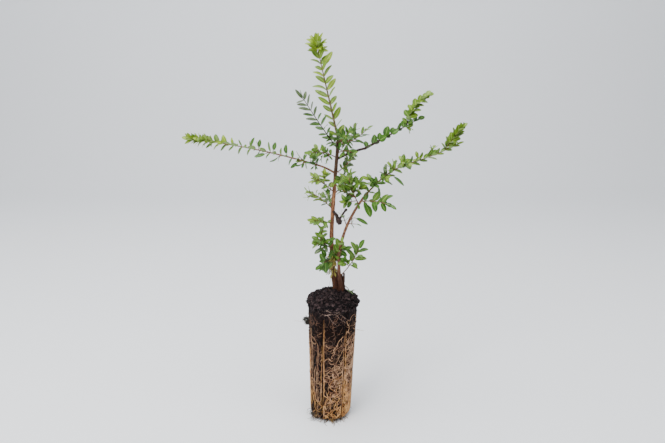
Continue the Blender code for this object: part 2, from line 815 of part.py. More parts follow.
def make_piece(name, skin, parts):
    points, faces = skin
    mesh = bpy.data.meshes.new(name)
    mesh.from_pydata([p * MM for p in points], [], faces)
    return new_object(name, mesh, parts)


@dataclass(frozen=True)
class Twig:
    """A twig that has its place: its way through space and its thickness along it."""

    shoot: Shoot
    route: Route
    points: list
    radii: list


def new_twig(shoot, foot):
    route = route_of(foot, shoot)
    count = steps_along(route)
    radii = [shoot.radius + (TIP_RADIUS - shoot.radius) * i / (count - 1) for i in range(count)]
    return Twig(shoot, route, route.points(count), radii)


def plan_spray(spray, grown):
    """The twigs of one mass, its stem first. A side twig that would touch another sub-part is left out."""
    stem = spray.stem
    foot = foot_on(grown[spray.parent], stem.at, Vector(stem.reach), stem.radius)
    twigs = [new_twig(stem, foot)]
    twigs += [new_twig(shoot, twigs[0].route.at(shoot.at)) for shoot in spray.twigs]
    others = list(grown.values())
    clear = [
        twig for twig in twigs if not touches(swollen_tube(twig.points[1:], twig.radii[1:], GAP), others)
    ]
    if twigs[0] not in clear:
        raise ValueError(f"the stem of {spray.name} would run into another sub-part")
    skins = [swollen_tube(twig.points, twig.radii, 0.0) for twig in clear]
    grown[spray.name] = Grown(twigs[0].route, tree=tree_of(skins))
    return clear


def make_spray(spray, twigs, grown, bench):
    """One mass: its twigs, fused with each leaf that keeps clear of other sub-parts and of its neighbours."""
    rng = random.Random(spray.name)
    others = [other for name, other in grown.items() if name != spray.name]
    outline, parts = bench.twig_outline, bench.parts
    pieces = [tube("twig", twig.points, twig.radii, outline, parts) for twig in twigs]
    blades = []
    for twig in twigs:
        for leaf in leaves_of(twig.shoot, twig.route, rng):
            blade = leaf.blade().skin(bench.leaf)
            if touches(leaf.skin(bench.leaf, GAP), others) or touches(blade, blades):
                continue
            blades.append(Grown(twig.route, tree=tree_of([blade])))
            pieces.append(make_piece("leaf", leaf.skin(bench.leaf), parts))
    made = fused(spray.name, pieces, parts)
    made.data.materials.clear()
    made.data.materials.append(new_material(spray.name + "_leaves", spray.color))
    grown[spray.name].tree = mesh_tree(made)


def make_stub(grown, bench):
    """The dead stub: it swells to a knobbly end, and a thin withered shoot curls up from it."""
    reach = Vector(STUB_REACH)
    foot = foot_on(grown["trunk"], STUB_AT, reach, STUB_RADII[0])
    route = Route(foot, reach, Vector(), Vector())
    points = route.points(len(STUB_RADII))
    stub = tube("pruned_stub", points, STUB_RADII, bench.limb_outline, bench.parts)
    curl = Route(route.at(CURL_AT), Vector(CURL_REACH), Vector(CURL_BOW), Vector())
    curl_points = curl.points(len(CURL_RADII))
    shoot = tube("curl", curl_points, CURL_RADII, bench.twig_outline, bench.parts)
    made = fused("pruned_stub", [stub, shoot], bench.parts)
    made.data.materials.clear()
    made.data.materials.append(new_material("dead_wood", (0.03, 0.02, 0.02), 0.8))
    grown["pruned_stub"] = Grown(route, tree=mesh_tree(made))


def main():
    clear_scene()
    parts = new_collection(OBJECT_NAME)
    guides = new_collection("guides")
    outlines = [polygon_guide(sides, guides) for sides in (LIMB_SIDES, TWIG_SIDES)]
    bench = Bench(parts, *outlines, leaf_shape())
    ball = make_root_ball(parts)
    grown = {"root_ball": Grown(tree=mesh_tree(ball))}
    for limb in LIMBS:
        make_limb(limb, grown, bench)
    make_stub(grown, bench)
    plans = [(spray, plan_spray(spray, grown)) for spray in SPRAYS]
    for spray, twigs in plans:
        make_spray(spray, twigs, grown, bench)


main()
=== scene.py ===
"""The looks of a box honeysuckle plug plant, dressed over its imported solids.

Sizes are millimetres and degrees unless a name says otherwise, and the scene is in metres. +Z is
up and -Y is the front. Stems, twigs and leaves follow the growing rule of the solids, from the same
named sizes and seeds, and carry it on to finer side shoots.
"""

from __future__ import annotations

import json
import logging
import math
import random
from collections.abc import Iterator
from dataclasses import dataclass, field
from enum import Enum

import bmesh
import bpy
import numpy as np
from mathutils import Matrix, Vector, noise

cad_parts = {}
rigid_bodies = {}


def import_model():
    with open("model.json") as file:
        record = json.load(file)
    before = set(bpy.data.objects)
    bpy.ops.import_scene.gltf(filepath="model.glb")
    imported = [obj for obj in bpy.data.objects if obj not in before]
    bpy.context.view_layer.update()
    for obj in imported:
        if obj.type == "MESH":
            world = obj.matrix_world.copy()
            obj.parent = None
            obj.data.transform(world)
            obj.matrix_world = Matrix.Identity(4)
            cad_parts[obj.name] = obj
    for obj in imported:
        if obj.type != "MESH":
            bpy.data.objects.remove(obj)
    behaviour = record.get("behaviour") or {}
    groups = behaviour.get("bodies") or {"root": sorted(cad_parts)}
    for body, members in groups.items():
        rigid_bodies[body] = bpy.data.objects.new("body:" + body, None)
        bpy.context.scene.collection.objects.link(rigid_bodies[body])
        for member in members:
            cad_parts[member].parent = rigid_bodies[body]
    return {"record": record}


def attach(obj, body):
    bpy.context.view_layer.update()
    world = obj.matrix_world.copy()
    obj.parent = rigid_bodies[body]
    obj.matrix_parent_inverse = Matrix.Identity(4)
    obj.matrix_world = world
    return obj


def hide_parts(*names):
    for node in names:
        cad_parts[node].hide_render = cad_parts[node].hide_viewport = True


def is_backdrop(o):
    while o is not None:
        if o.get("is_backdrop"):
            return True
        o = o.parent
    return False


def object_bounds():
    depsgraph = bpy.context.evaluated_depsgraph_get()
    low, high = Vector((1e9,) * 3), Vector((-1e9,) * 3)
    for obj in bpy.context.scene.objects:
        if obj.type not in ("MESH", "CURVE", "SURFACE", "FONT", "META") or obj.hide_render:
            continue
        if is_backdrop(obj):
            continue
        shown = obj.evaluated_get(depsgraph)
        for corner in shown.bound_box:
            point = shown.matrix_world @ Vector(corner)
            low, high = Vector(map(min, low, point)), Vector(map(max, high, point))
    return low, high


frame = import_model()
CAD_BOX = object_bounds()

Triple = tuple[float, float, float]
Mesh = tuple[np.ndarray, list[np.ndarray]]  # points, and faces as arrays of quads or triangles
Material = bpy.types.Material
Socket = bpy.types.NodeSocket

MM = 0.001
GAP = 0.3  # between a shoot and its parent in the solids
TIP_RADIUS = 0.3  # of every twig's end
SIDE_RADIUS = 0.34  # of a short side shoot's foot
ASTRAY = 0.24  # how far chance turns a leaf's face
BODY = "root"
BALL = "root_ball"
FRONT = Vector((0.0, -1.0, 0.0))
UP = Vector((0.0, 0.0, 1.0))
DISPLAY = Vector((0.0, -0.65, 0.76))  # where the upper faces of the leaves tend to look
STILL = (0.0, 0.0, 0.0)
LOG = logging.getLogger("plug_plant")


# ---- colour and node helpers


def linear(hex_colour: str) -> tuple[float, float, float, float]:
    """Turns six sRGB hex digits into the linear colour that shaders take, with an alpha of one."""
    channels = [int(hex_colour[i : i + 2], 16) / 255.0 for i in (0, 2, 4)]
    lit = [c / 12.92 if c <= 0.04045 else ((c + 0.055) / 1.055) ** 2.4 for c in channels]
    return (lit[0], lit[1], lit[2], 1.0)


def add(material: Material, kind: str, links: dict | None = None, **settings: object) -> bpy.types.Node:
    """Adds one shader node to a material.

    Args:
        material: the material that takes the node.
        kind: the node's type name, without its ShaderNode prefix.
        links: input names or numbers to the output sockets that feed them.
        settings: node attributes, or input names with spaces as underscores, to set.

    Returns:
        The new node.
    """
    node = material.node_tree.nodes.new("ShaderNode" + kind)
    for name, value in settings.items():
        if hasattr(node, name):
            setattr(node, name, value)
        else:
            node.inputs[name.replace("_", " ")].default_value = value
    for name, socket in (links or {}).items():
        material.node_tree.links.new(socket, node.inputs[name])
    return node


def new_material(name: str) -> tuple[Material, Socket]:
    """Makes a node material that holds only the socket of a point's place, and gives both."""
    material = bpy.data.materials.new(name)
    material.use_nodes = True
    material.node_tree.nodes.clear()
    return material, add(material, "TexCoord").outputs["Object"]


def cloud(material: Material, place: Socket, size_mm: float, **settings: float) -> Socket:
    """Adds noise whose features are this many millimetres wide, and gives its strength."""
    scale = 1.0 / (size_mm * MM)
    return add(material, "TexNoise", {"Vector": place}, Scale=scale, **settings).outputs["Fac"]


def axis_of(material: Material, vector: Socket, name: str) -> Socket:
    """Adds a split of a vector or colour, and gives one of its axes."""
    return add(material, "SeparateXYZ", {"Vector": vector}).outputs[name]


def ramp(material: Material, factor: Socket, stops: dict[float, str]) -> Socket:
    """Adds a colour ramp.

    Args:
        material: the material that takes it.
        factor: the socket that runs along it.
        stops: place along the ramp to hex colour, in rising order.

    Returns:
        The ramp's colour.
    """
    node = add(material, "ValToRGB", {"Fac": factor})
    points = node.color_ramp.elements
    while len(points) < len(stops):
        points.new(0.5)
    for point, (place, colour) in zip(points, sorted(stops.items())):
        point.position = place
        point.color = linear(colour)
    return node.outputs["Color"]


def tinted(
    material: Material, colour: Socket, height: Socket, change: tuple[float, float, str],
    most: float = 1.0, **settings: str,
) -> Socket:
    """Turns a colour towards a tint between two heights.

    Args:
        material: the material.
        colour: the colour so far.
        height: the socket of a point's height.
        change: the height where the tint starts, the height where it is full, and the tint.
        most: the tint's share where it is full.
        settings: attributes of the mixing node.

    Returns:
        The new colour.
    """
    start, full, tint = change
    share = add(material, "MapRange", {"Value": height}, From_Min=start * MM, From_Max=full * MM, To_Max=most)
    links = {"Factor": share.outputs["Result"], 6: colour}
    mix = add(material, "Mix", links, data_type="RGBA", **settings)
    mix.inputs[7].default_value = linear(tint)
    return mix.outputs[2]


def finish_surface(
    material: Material, colour: Socket, height: Socket, relief_mm: float, strength: float, **settings: float
) -> Material:
    """Closes a material with its bump and its surface shader.

    Args:
        material: the material to close.
        colour: the socket that gives the base colour.
        height: the socket that gives the fine relief.
        relief_mm: how deep that relief is.
        strength: how strongly it turns the light.
        settings: values for the surface shader's own sockets.

    Returns:
        The finished material.
    """
    bump = add(material, "Bump", {"Height": height}, Distance=relief_mm * MM, Strength=strength)
    links = {"Base Color": colour, "Normal": bump.outputs["Normal"]}
    shader = add(material, "BsdfPrincipled", links, **settings)
    add(material, "OutputMaterial", {"Surface": shader.outputs["BSDF"]})
    return material


# ---- finishes


@dataclass(frozen=True)
class LeafSkin:
    """A leaf's skin: a waxy upper face, a paler matt underside or a light midrib."""

    name: str
    base: str
    shade: str
    roughness: float
    mottle: float = 3.0  # width of the slow change of green over a leaf
    grain: float = 0.6  # width of the pores that break up its glints

    def material(self) -> Material:
        """Builds the skin. The wax gives soft glints, and the mottle keeps greens from looking painted."""
        made, place = new_material(self.name)
        slow = cloud(made, place, self.mottle, Detail=2.0)
        fine = cloud(made, place, self.grain, Detail=2.0)
        colour = ramp(made, slow, {0.3: self.shade, 0.7: self.base})
        return finish_surface(
            made, colour, fine, 0.05, 0.35, Roughness=self.roughness, Specular_IOR_Level=0.32
        )


@dataclass(frozen=True)
class Bark:
    """Living or dead bark: fibres that run along the stem, with lighter flakes and dark cracks."""

    name: str
    crack: str
    middle: str
    flake: str
    fibre: float = 0.8  # width of one fibre
    relief: float = 0.18
    changes: tuple[tuple[float, float, str], ...] = ()  # heights between which it turns to another tint
    drawn: Triple = (1.0, 1.0, 0.22)  # how the fibres are drawn out along the stem

    def material(self) -> Material:
        """Builds the bark. Long narrow noise reads as peeling strips, and a fine grain keeps it dry."""
        made, place = new_material(self.name)
        drawn = add(made, "Mapping", {"Vector": place}, Scale=self.drawn).outputs["Vector"]
        strips = cloud(made, drawn, self.fibre, Detail=5.0, Roughness=0.6)
        colour = ramp(made, strips, {0.3: self.crack, 0.5: self.middle, 0.72: self.flake})
        height = axis_of(made, place, "Z")
        for change in self.changes:
            colour = tinted(made, colour, height, change, 0.8)
        return finish_surface(
            made, colour, strips, self.relief, 0.8, Roughness=0.72, Specular_IOR_Level=0.25
        )


@dataclass(frozen=True)
class Compost:
    """Moist peat compost: nearly black crumbs with brown fibre between them."""

    name: str = "moist peat compost"
    dark: str = "0b0708"
    middle: str = "1e1516"
    light: str = "3d2e2c"
    crumb: float = 1.5
    wall: tuple[float, float, str] = (128.0, 108.0, "94582c")  # the browner wall below the bare band

    def material(self) -> Material:
        """Builds the compost. Each crumb has a tint of its own, and the damp film gives small dull glints."""
        made, place = new_material(self.name)
        cells = add(made, "TexVoronoi", {"Vector": place}, Scale=1.0 / (self.crumb * MM))
        tint = axis_of(made, cells.outputs["Color"], "X")
        fine = cloud(made, place, 0.7, Detail=6.0, Roughness=0.7)
        mixed = add(made, "Math", {0: tint, 1: fine}, operation="MULTIPLY").outputs["Value"]
        colour = ramp(made, mixed, {0.08: self.dark, 0.3: self.middle, 0.62: self.light})
        height = axis_of(made, place, "Z")
        brown = tinted(made, colour, height, self.wall, blend_type="MULTIPLY")
        both = add(made, "Math", {0: cells.outputs["Distance"], 1: fine}, operation="SUBTRACT")
        relief = both.outputs["Value"]
        return finish_surface(made, brown, relief, 0.5, 1.0, Roughness=0.7, Specular_IOR_Level=0.1)


@dataclass(frozen=True)
class RootSkin:
    """A fine root's skin: smooth and dull, lighter where it is young."""

    name: str
    dark: str
    light: str

    def material(self) -> Material:
        """Builds the root skin. Slow tan and brown changes keep a mat of roots from reading as one tint."""
        made, place = new_material(self.name)
        slow = cloud(made, place, 5.0, Detail=3.0)
        fine = cloud(made, place, 0.7, Detail=2.0)
        colour = ramp(made, slow, {0.34: self.dark, 0.62: self.light})
        return finish_surface(made, colour, fine, 0.08, 0.5, Roughness=0.62)


@dataclass(frozen=True)
class Booth:
    """The matt paint of the plain floor and backdrop."""

    name: str = "matt studio paint"
    colour: str = "f1f3f6"

    def material(self) -> Material:
        """Builds the paint, with no sheen, so that nothing mirrors in it."""
        made, place = new_material(self.name)
        grain = cloud(made, place, 4.0, Detail=1.0)
        colour = ramp(made, grain, {0.0: self.colour, 1.0: self.colour})
        return finish_surface(made, colour, grain, 0.02, 0.1, Roughness=0.9)


class Tone(Enum):
    """How old and how shaded a leaf is: the upper face, the midrib and the underside of each."""

    NEW = (("8ca827", "708a1e"), "b6c65c", ("9cb25c", "86a048"))
    FRESH = (("74932a", "5b7a20"), "9eb256", ("8ea55c", "7a924c"))
    MID = (("5d812a", "496b20"), "8ea654", ("829c58", "6e8846"))
    DEEP = (("446d1e", "305317"), "739246", ("6a8a4a", "567638"))
    # This tone is a painted shade: a dull grey-green that stands in for leaves in the shade of others.
    DUSKY = (("5a6c44", "465836"), "84946a", ("788862", "667652"))
    DRY = (("9a9048", "736a2e"), "b3aa66", ("928a4e", "746c3c"))

    def finishes(self) -> list[LeafSkin]:
        """The three finishes of a leaf of this tone, in the order of the leaf's slots."""
        face, rib, under = self.value
        word = self.name.lower()
        return [
            LeafSkin(f"waxy {word} leaf face", *face, 0.42),
            LeafSkin(f"{word} leaf midrib", rib, rib, 0.5),
            LeafSkin(f"matt {word} leaf underside", *under, 0.6),
        ]


NEW, FRESH, MID, DEEP, DUSKY, DRY = Tone
FOOT_TINT = (168.0, 150.0, "34160a")  # the dark red that bark turns to near the soil
CROWN_TINT = (243.0, 260.0, "2b1f19")  # the darker bark under the crown


class Rind(Enum):
    """The skins that stems and twigs wear, from old wood to this year's growth."""

    OLD = Bark("peeling red-brown bark", "3a2014", "7d4f33", "b5885f", 1.1, 0.3, (CROWN_TINT, FOOT_TINT))
    BASE = Bark("dark red bark of the old base", "120703", "2e1308", "582c14", relief=0.4)
    BROWN = Bark("purple-brown young bark", "2f1e18", "694634", "9c7452", changes=(FOOT_TINT,))
    DARK = Bark("dark weathered twig bark", "140e0d", "30231e", "5c463a")
    OLIVE = Bark("olive-brown shoot rind", "332b1a", "5f5332", "8c7f50", 0.7, 0.1)
    DEAD = Bark("dry dead wood", "140e0d", "2c211f", "57443c", relief=0.3)


# ---- mesh building


@dataclass
class Pile:
    """Points and faces of many small shapes, which become one mesh piece."""

    points: list[np.ndarray] = field(default_factory=list)
    faces: list[np.ndarray] = field(default_factory=list)
    slots: list[int] = field(default_factory=list)
    count: int = 0

    def add(self, points: np.ndarray, faces: list[np.ndarray], slot: int = 0) -> None:
        """Adds one shape.

        Args:
            points: its points, in millimetres.
            faces: arrays of triangles or quads, as point numbers within the shape.
            slot: the material slot of all its faces.
        """
        for group in faces:
            self.faces.append(group + self.count)
            self.slots += [slot] * len(group)
        self.points.append(points)
        self.count += len(points)

    def make(
        self, name: str, slot: str, finishes: list, nodes: tuple[str, ...] = (), sharp: float = 80.0
    ) -> None:
        """Makes the piece and sets it riding on the plant.

        Args:
            name: the piece's name.
            slot: the record's slot; not used.
            finishes: the finish of each material slot.
            nodes: the solids that it stands for.
            sharp: the angle over which an edge isn't shaded smooth.
        """
        mesh = bpy.data.meshes.new(name)
        corners = [tuple(face) for group in self.faces for face in group.tolist()]
        mesh.from_pydata((np.concatenate(self.points) * MM).tolist(), [], corners)
        for finish in finishes:
            mesh.materials.append(finish.material())
        mesh.polygons.foreach_set("material_index", np.array(self.slots, np.int32))
        mesh.shade_smooth()
        mesh.set_sharp_from_angle(angle=math.radians(sharp))
        piece = bpy.data.objects.new(name, mesh)
        bpy.context.scene.collection.objects.link(piece)
        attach(piece, BODY)
        if nodes:
            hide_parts(*nodes)
        LOG.info("%s: %d faces", name, len(corners))


def skin_faces(rows: int, sides: int) -> list[np.ndarray]:
    """The quads between rings of points, and the triangles to the two tips that follow them."""
    ring = np.arange(sides)
    after = (ring + 1) % sides
    starts = np.arange(rows - 1)[:, None] * sides
    quads = np.stack([starts + ring, starts + after, starts + sides + after, starts + sides + ring], axis=-1)
    last, tip = (rows - 1) * sides, np.full(sides, rows * sides)
    low = np.stack([tip, after, ring], axis=-1)
    high = np.stack([tip + 1, last + ring, last + after], axis=-1)
    return [quads.reshape(-1, 4), np.concatenate([low, high])]


def tube(points: np.ndarray, radii: np.ndarray, sides: int, relief: np.ndarray | None = None) -> Mesh:
    """Builds a closed tube through points, with pointed caps.

    Args:
        points: the middle line, as an array of n by 3.
        radii: its radius at each point.
        sides: how many corners each ring has.
        relief: extra radius for each ring and corner, if the skin isn't plain.

    Returns:
        The tube's points and faces.
    """
    along = np.gradient(points, axis=0)
    along /= np.linalg.norm(along, axis=1)[:, None]
    whole = points[-1] - points[0]
    helper = np.eye(3)[np.argmin(np.abs(whole))]
    across = np.cross(along, helper)
    across /= np.linalg.norm(across, axis=1)[:, None]
    other = np.cross(along, across)
    turn = 2.0 * np.pi * np.arange(sides) / sides
    spoke = np.cos(turn)[None, :, None] * across[:, None] + np.sin(turn)[None, :, None] * other[:, None]
    reach = np.repeat(radii[:, None], sides, axis=1)
    if relief is not None:
        reach = reach + relief
    rings = (points[:, None] + reach[:, :, None] * spoke).reshape(-1, 3)
    ends = np.array([points[0] - 0.5 * radii[0] * along[0], points[-1] + 0.5 * radii[-1] * along[-1]])
    return np.concatenate([rings, ends]), skin_faces(len(points), sides)


def as_array(points: list[Vector]) -> np.ndarray:
    """Blender vectors as an array of n by 3."""
    return np.array([tuple(point) for point in points])


def bent(start: Vector, middle: Vector, end: Vector, count: int) -> np.ndarray:
    """Points along a smooth bend from start to end that leans towards its middle."""
    shares = np.linspace(0.0, 1.0, count)
    return as_array([start.lerp(middle, t).lerp(middle.lerp(end, t), t) for t in shares])


def around(turn: float, size: float = 1.0) -> tuple[float, float]:
    """How far right and back a place is, this many degrees round from the front and this far out."""
    angle = math.radians(turn)
    return size * math.sin(angle), -size * math.cos(angle)


# ---- the growing rule


Tones = tuple[Tone, Tone, Tone]


@dataclass(frozen=True)
class Route:
    """A smooth line: a straight reach, bowed in the middle and swayed to and fro."""

    foot: Vector
    reach: Vector
    bow: Vector
    sway: Vector

    def at(self, share: float) -> Vector:
        """The point at a share of the way along."""
        bulge = 4.0 * share * (1.0 - share)
        swing = math.sin(2.0 * math.pi * share)
        return self.foot + share * self.reach + bulge * self.bow + swing * self.sway

    def heading(self, share: float) -> Vector:
        """The direction of growth at a share of the way along."""
        before, after = max(0.0, share - 0.02), min(1.0, share + 0.02)
        return (self.at(after) - self.at(before)).normalized()

    def points(self, count: int) -> list[Vector]:
        """Evenly spread points from foot to tip."""
        return [self.at(i / (count - 1)) for i in range(count)]

    @property
    def length(self) -> float:
        """The line's length."""
        points = self.points(9)
        return sum((b - a).length for a, b in zip(points, points[1:]))


@dataclass(frozen=True)
class Limb:
    """A bare stem or bough, which leaves its parent at a share of that one's length."""

    name: str
    parent: str
    at: float
    reach: Triple
    radii: tuple[float, float]
    foot: Triple | None = None
    bow: Triple = STILL
    sway: Triple = STILL
    flare: float = 0.0
    flare_height: float = 10.0
    bark: float = 0.1  # loose bark over the solid's radius
    rind: Rind = Rind.BROWN


@dataclass(frozen=True)
class Shoot:
    """A leafy twig, with opposite leaves in pairs that stand closer towards its tip."""

    reach: Triple
    pairs: int
    leaf: float  # length of its longest leaf
    at: float = 1.0  # where it leaves its parent, as a share of that one's length
    bow: Triple = STILL
    sway: Triple = STILL
    radius: float = 0.6
    slim: float = 0.5  # a leaf's width for its length
    bare: float = 0.2  # share of its length with no leaves
    crowd: float = 1.0  # over one, the pairs stand closer towards its tip
    spread: tuple[float, float] = (62.0, 28.0)  # a leaf's lean from the twig, at its foot and tip
    roll: float = 0.0  # how far the first pair is turned round the twig
    turn: float = 90.0  # between one pair and the next
    display: float = 0.45  # how far the faces of its leaves turn to the light
    tip_leaf: float = 0.65  # length of the leaf at its tip for its longest one
    rise: float = 0.0  # how far the leaves on a level twig turn up
    ragged: float = 0.0  # how much smaller than its place allows a leaf may stay
    tone: Tone | None = None  # the green of all its leaves, if they share one


@dataclass(frozen=True)
class Spray:
    """A mass of foliage: its stem, its side twigs, and the greens from its foot to its tip."""

    name: str
    parent: str
    stem: Shoot
    twigs: tuple[Shoot, ...] = ()
    tones: Tones = (DEEP, MID, MID)
    finer: int = 0  # random side shoots that the solids leave out
    more: tuple[Shoot, ...] = ()  # side shoots with a place of their own, which they leave out too
    rind: Rind = Rind.BROWN


@dataclass(frozen=True)
class Leaf:
    """One leaf's place: its foot, its axis, the way its face looks, its sizes and its green."""

    foot: Vector
    axis: Vector
    normal: Vector
    length: float
    width: float
    tone: Tone


@dataclass(frozen=True)
class Grown:
    """A limb or stem that has its place, for what grows on it."""

    route: Route
    radii: tuple[float, ...]  # at the foot, at the tip, of the root flare, and the flare's height

    def radius(self, share: float) -> float:
        """The limb's radius at a share of its length, with its root flare."""
        foot, tip, flare, flare_height = self.radii
        height = share * self.route.length
        return foot + (tip - foot) * share + flare * math.exp(-((height / flare_height) ** 2))


def side(
    reach: Triple, at: float, pairs: int, leaf: float, tone: Tone | None = None, **rule: object
) -> Shoot:
    """A short side shoot.

    Args:
        reach: where its tip is from its foot.
        at: the share of its stem's length where it stands.
        pairs: how many pairs of leaves it has.
        leaf: the length of its longest leaf.
        tone: the green of all its leaves, if they share one.
        rule: the rest of the shoot's sizes.

    Returns:
        The shoot.
    """
    rule = {"radius": SIDE_RADIUS, "bare": 0.12, "crowd": 1.25, **rule}
    return Shoot(reach, pairs, leaf, at, tone=tone, **rule)


def lone(
    reach: Triple, at: float, leaf: float, tone: Tone, slim: float, display: float = 0.45, bow: Triple = STILL
) -> Shoot:
    """One leaf with a place of its own, on a stalk.

    Args:
        reach: where the leaf starts from the stalk's foot, which is the way it points too.
        at: the share of its stem's length where the stalk stands.
        leaf: its length.
        tone: its green.
        slim: its width for its length.
        display: how far its face turns to the light.
        bow: the stalk's bow.

    Returns:
        The shoot.
    """
    return side(reach, at, 0, leaf, tone, slim=slim, display=display, bow=bow, tip_leaf=1.0)


def route_of(foot: Vector, shape: Limb | Shoot) -> Route:
    """The line of a limb or shoot that starts at this foot."""
    return Route(foot, Vector(shape.reach), Vector(shape.bow), Vector(shape.sway))


def foot_on(parent: Grown, at: float, reach: Vector, radius: float) -> Vector:
    """Finds where a shoot starts in the solids.

    Args:
        parent: what it grows on.
        at: the share of the parent's length, 1 being its tip.
        reach: the shoot's own reach.
        radius: the shoot's radius at its foot.

    Returns:
        A point just clear of the parent's bark, or beyond its tip.
    """
    share = min(at, 1.0)
    route, heading = parent.route, parent.route.heading(share)
    direction = reach.normalized()
    if at >= 1.0:
        return route.at(1.0) + GAP * heading
    slant = max(0.35, direction.cross(heading).length)
    lean = abs(direction.dot(heading))
    away = (parent.radius(share) + GAP + radius * lean) / slant + 0.15
    return route.at(share) + direction * away


def twig_frame(heading: Vector) -> tuple[Vector, Vector]:
    """Two directions across a twig: one across the front view where it can be, and the other."""
    across = heading.cross(FRONT)
    if across.length < 0.4:
        across = heading.cross(UP)
    across.normalize()
    return across, across.cross(heading)


def leaf_share(far: float, tip_leaf: float) -> float:
    """How long a leaf is for the longest one, at a share of the leafy length."""
    if far < 0.4:
        return 0.78 + 0.22 * far / 0.4
    return 1.0 - (1.0 - tip_leaf) * (far - 0.4) / 0.6


def pick_tone(tones: Tones, far: float, rng: random.Random) -> Tone:
    """The green of a leaf at a share of its twig, older at the foot and newer at the tip."""
    place = far * 2.0 + rng.uniform(-0.62, 0.62)
    return tones[min(2, max(0, round(place)))]


def new_leaf(
    foot: Vector, heading: Vector, arm: Vector, angle: float, length: float,
    shoot: Shoot, tone: Tone, rng: random.Random,
) -> Leaf:
    """Sets one leaf on its twig, its face partly turned to the light.

    Args:
        foot: where it joins the twig.
        heading: the twig's direction there.
        arm: the side of the twig that it stands on.
        angle: how far it leans out from the twig.
        length: its length.
        shoot: the twig's rule.
        tone: its green.
        rng: the spray's random numbers.

    Returns:
        The leaf.
    """
    lean = math.radians(angle)
    axis = math.cos(lean) * heading + math.sin(lean) * (arm + shoot.rise * UP)
    axis.normalize()
    inner = heading - heading.dot(axis) * axis
    wild = Vector([rng.uniform(-ASTRAY, ASTRAY) for _ in range(3)])
    facing = inner.normalized() * (1.0 - shoot.display) + DISPLAY * shoot.display + wild
    normal = (facing - facing.dot(axis) * axis).normalized()
    return Leaf(foot, axis, normal, length, length * shoot.slim * rng.uniform(0.88, 1.12), tone)


def leaves_of(
    shoot: Shoot, route: Route, tones: Tones, rng: random.Random, hues: random.Random
) -> Iterator[Leaf]:
    """The leaves of one twig, pair by pair, and the one at its tip.

    Args:
        shoot: the twig's rule.
        route: its line.
        tones: its greens from foot to tip.
        rng: the random numbers that place the leaves, as in the solids.
        hues: the random numbers that deal out the greens.

    Yields:
        Each leaf.
    """
    for k in range(shoot.pairs):
        far = 1.0 - (1.0 - k / shoot.pairs) ** shoot.crowd
        share = shoot.bare + (1.0 - shoot.bare) * far
        heading = route.heading(share)
        across, other = twig_frame(heading)
        roll = math.radians(shoot.roll + (shoot.turn if k % 2 else 0.0) + rng.uniform(-14.0, 14.0))
        size = shoot.leaf * leaf_share(far, shoot.tip_leaf)
        for sign in (1.0, -1.0):
            arm = sign * (math.cos(roll) * across + math.sin(roll) * other)
            angle = shoot.spread[0] + (shoot.spread[1] - shoot.spread[0]) * far + rng.uniform(-9.0, 9.0)
            length = size * rng.uniform(0.82, 1.08) * (1.0 - shoot.ragged * hues.random())
            tone = shoot.tone or pick_tone(tones, far, hues)
            yield new_leaf(route.at(share), heading, arm, angle, length, shoot, tone, rng)
    end, size = route.heading(1.0), shoot.tip_leaf * shoot.leaf
    across, _ = twig_frame(end)
    yield new_leaf(route.at(1.0) - 0.4 * end, end, across, 8.0, size, shoot, shoot.tone or tones[2], rng)


def finer_shoots(spray: Spray, rng: random.Random) -> Iterator[Shoot]:
    """The short side shoots of a spray that the solids are too coarse for.

    Args:
        spray: the spray.
        rng: the random numbers that place them.

    Yields:
        Each shoot, to stand on the spray's stem.
    """
    stem = spray.stem
    heading = Vector(stem.reach).normalized()
    across, other = twig_frame(heading)
    for k in range(spray.finer):
        turn = rng.uniform(0.0, 2.0 * math.pi)
        arm = math.cos(turn) * across + math.sin(turn) * other
        lean = math.radians(rng.uniform(40.0, 62.0))
        length = stem.leaf * rng.uniform(0.55, 0.95)
        reach = length * (math.cos(lean) * heading + math.sin(lean) * arm)
        yield side(
            tuple(reach), 0.15 + 0.6 * (k + rng.random()) / spray.finer, rng.choice((2, 3)), 0.62 * stem.leaf,
            slim=stem.slim, bare=0.35, crowd=1.1, spread=(58.0, 30.0), roll=rng.uniform(0.0, 90.0),
            display=stem.display, tip_leaf=0.8,
        )


# ---- leaves


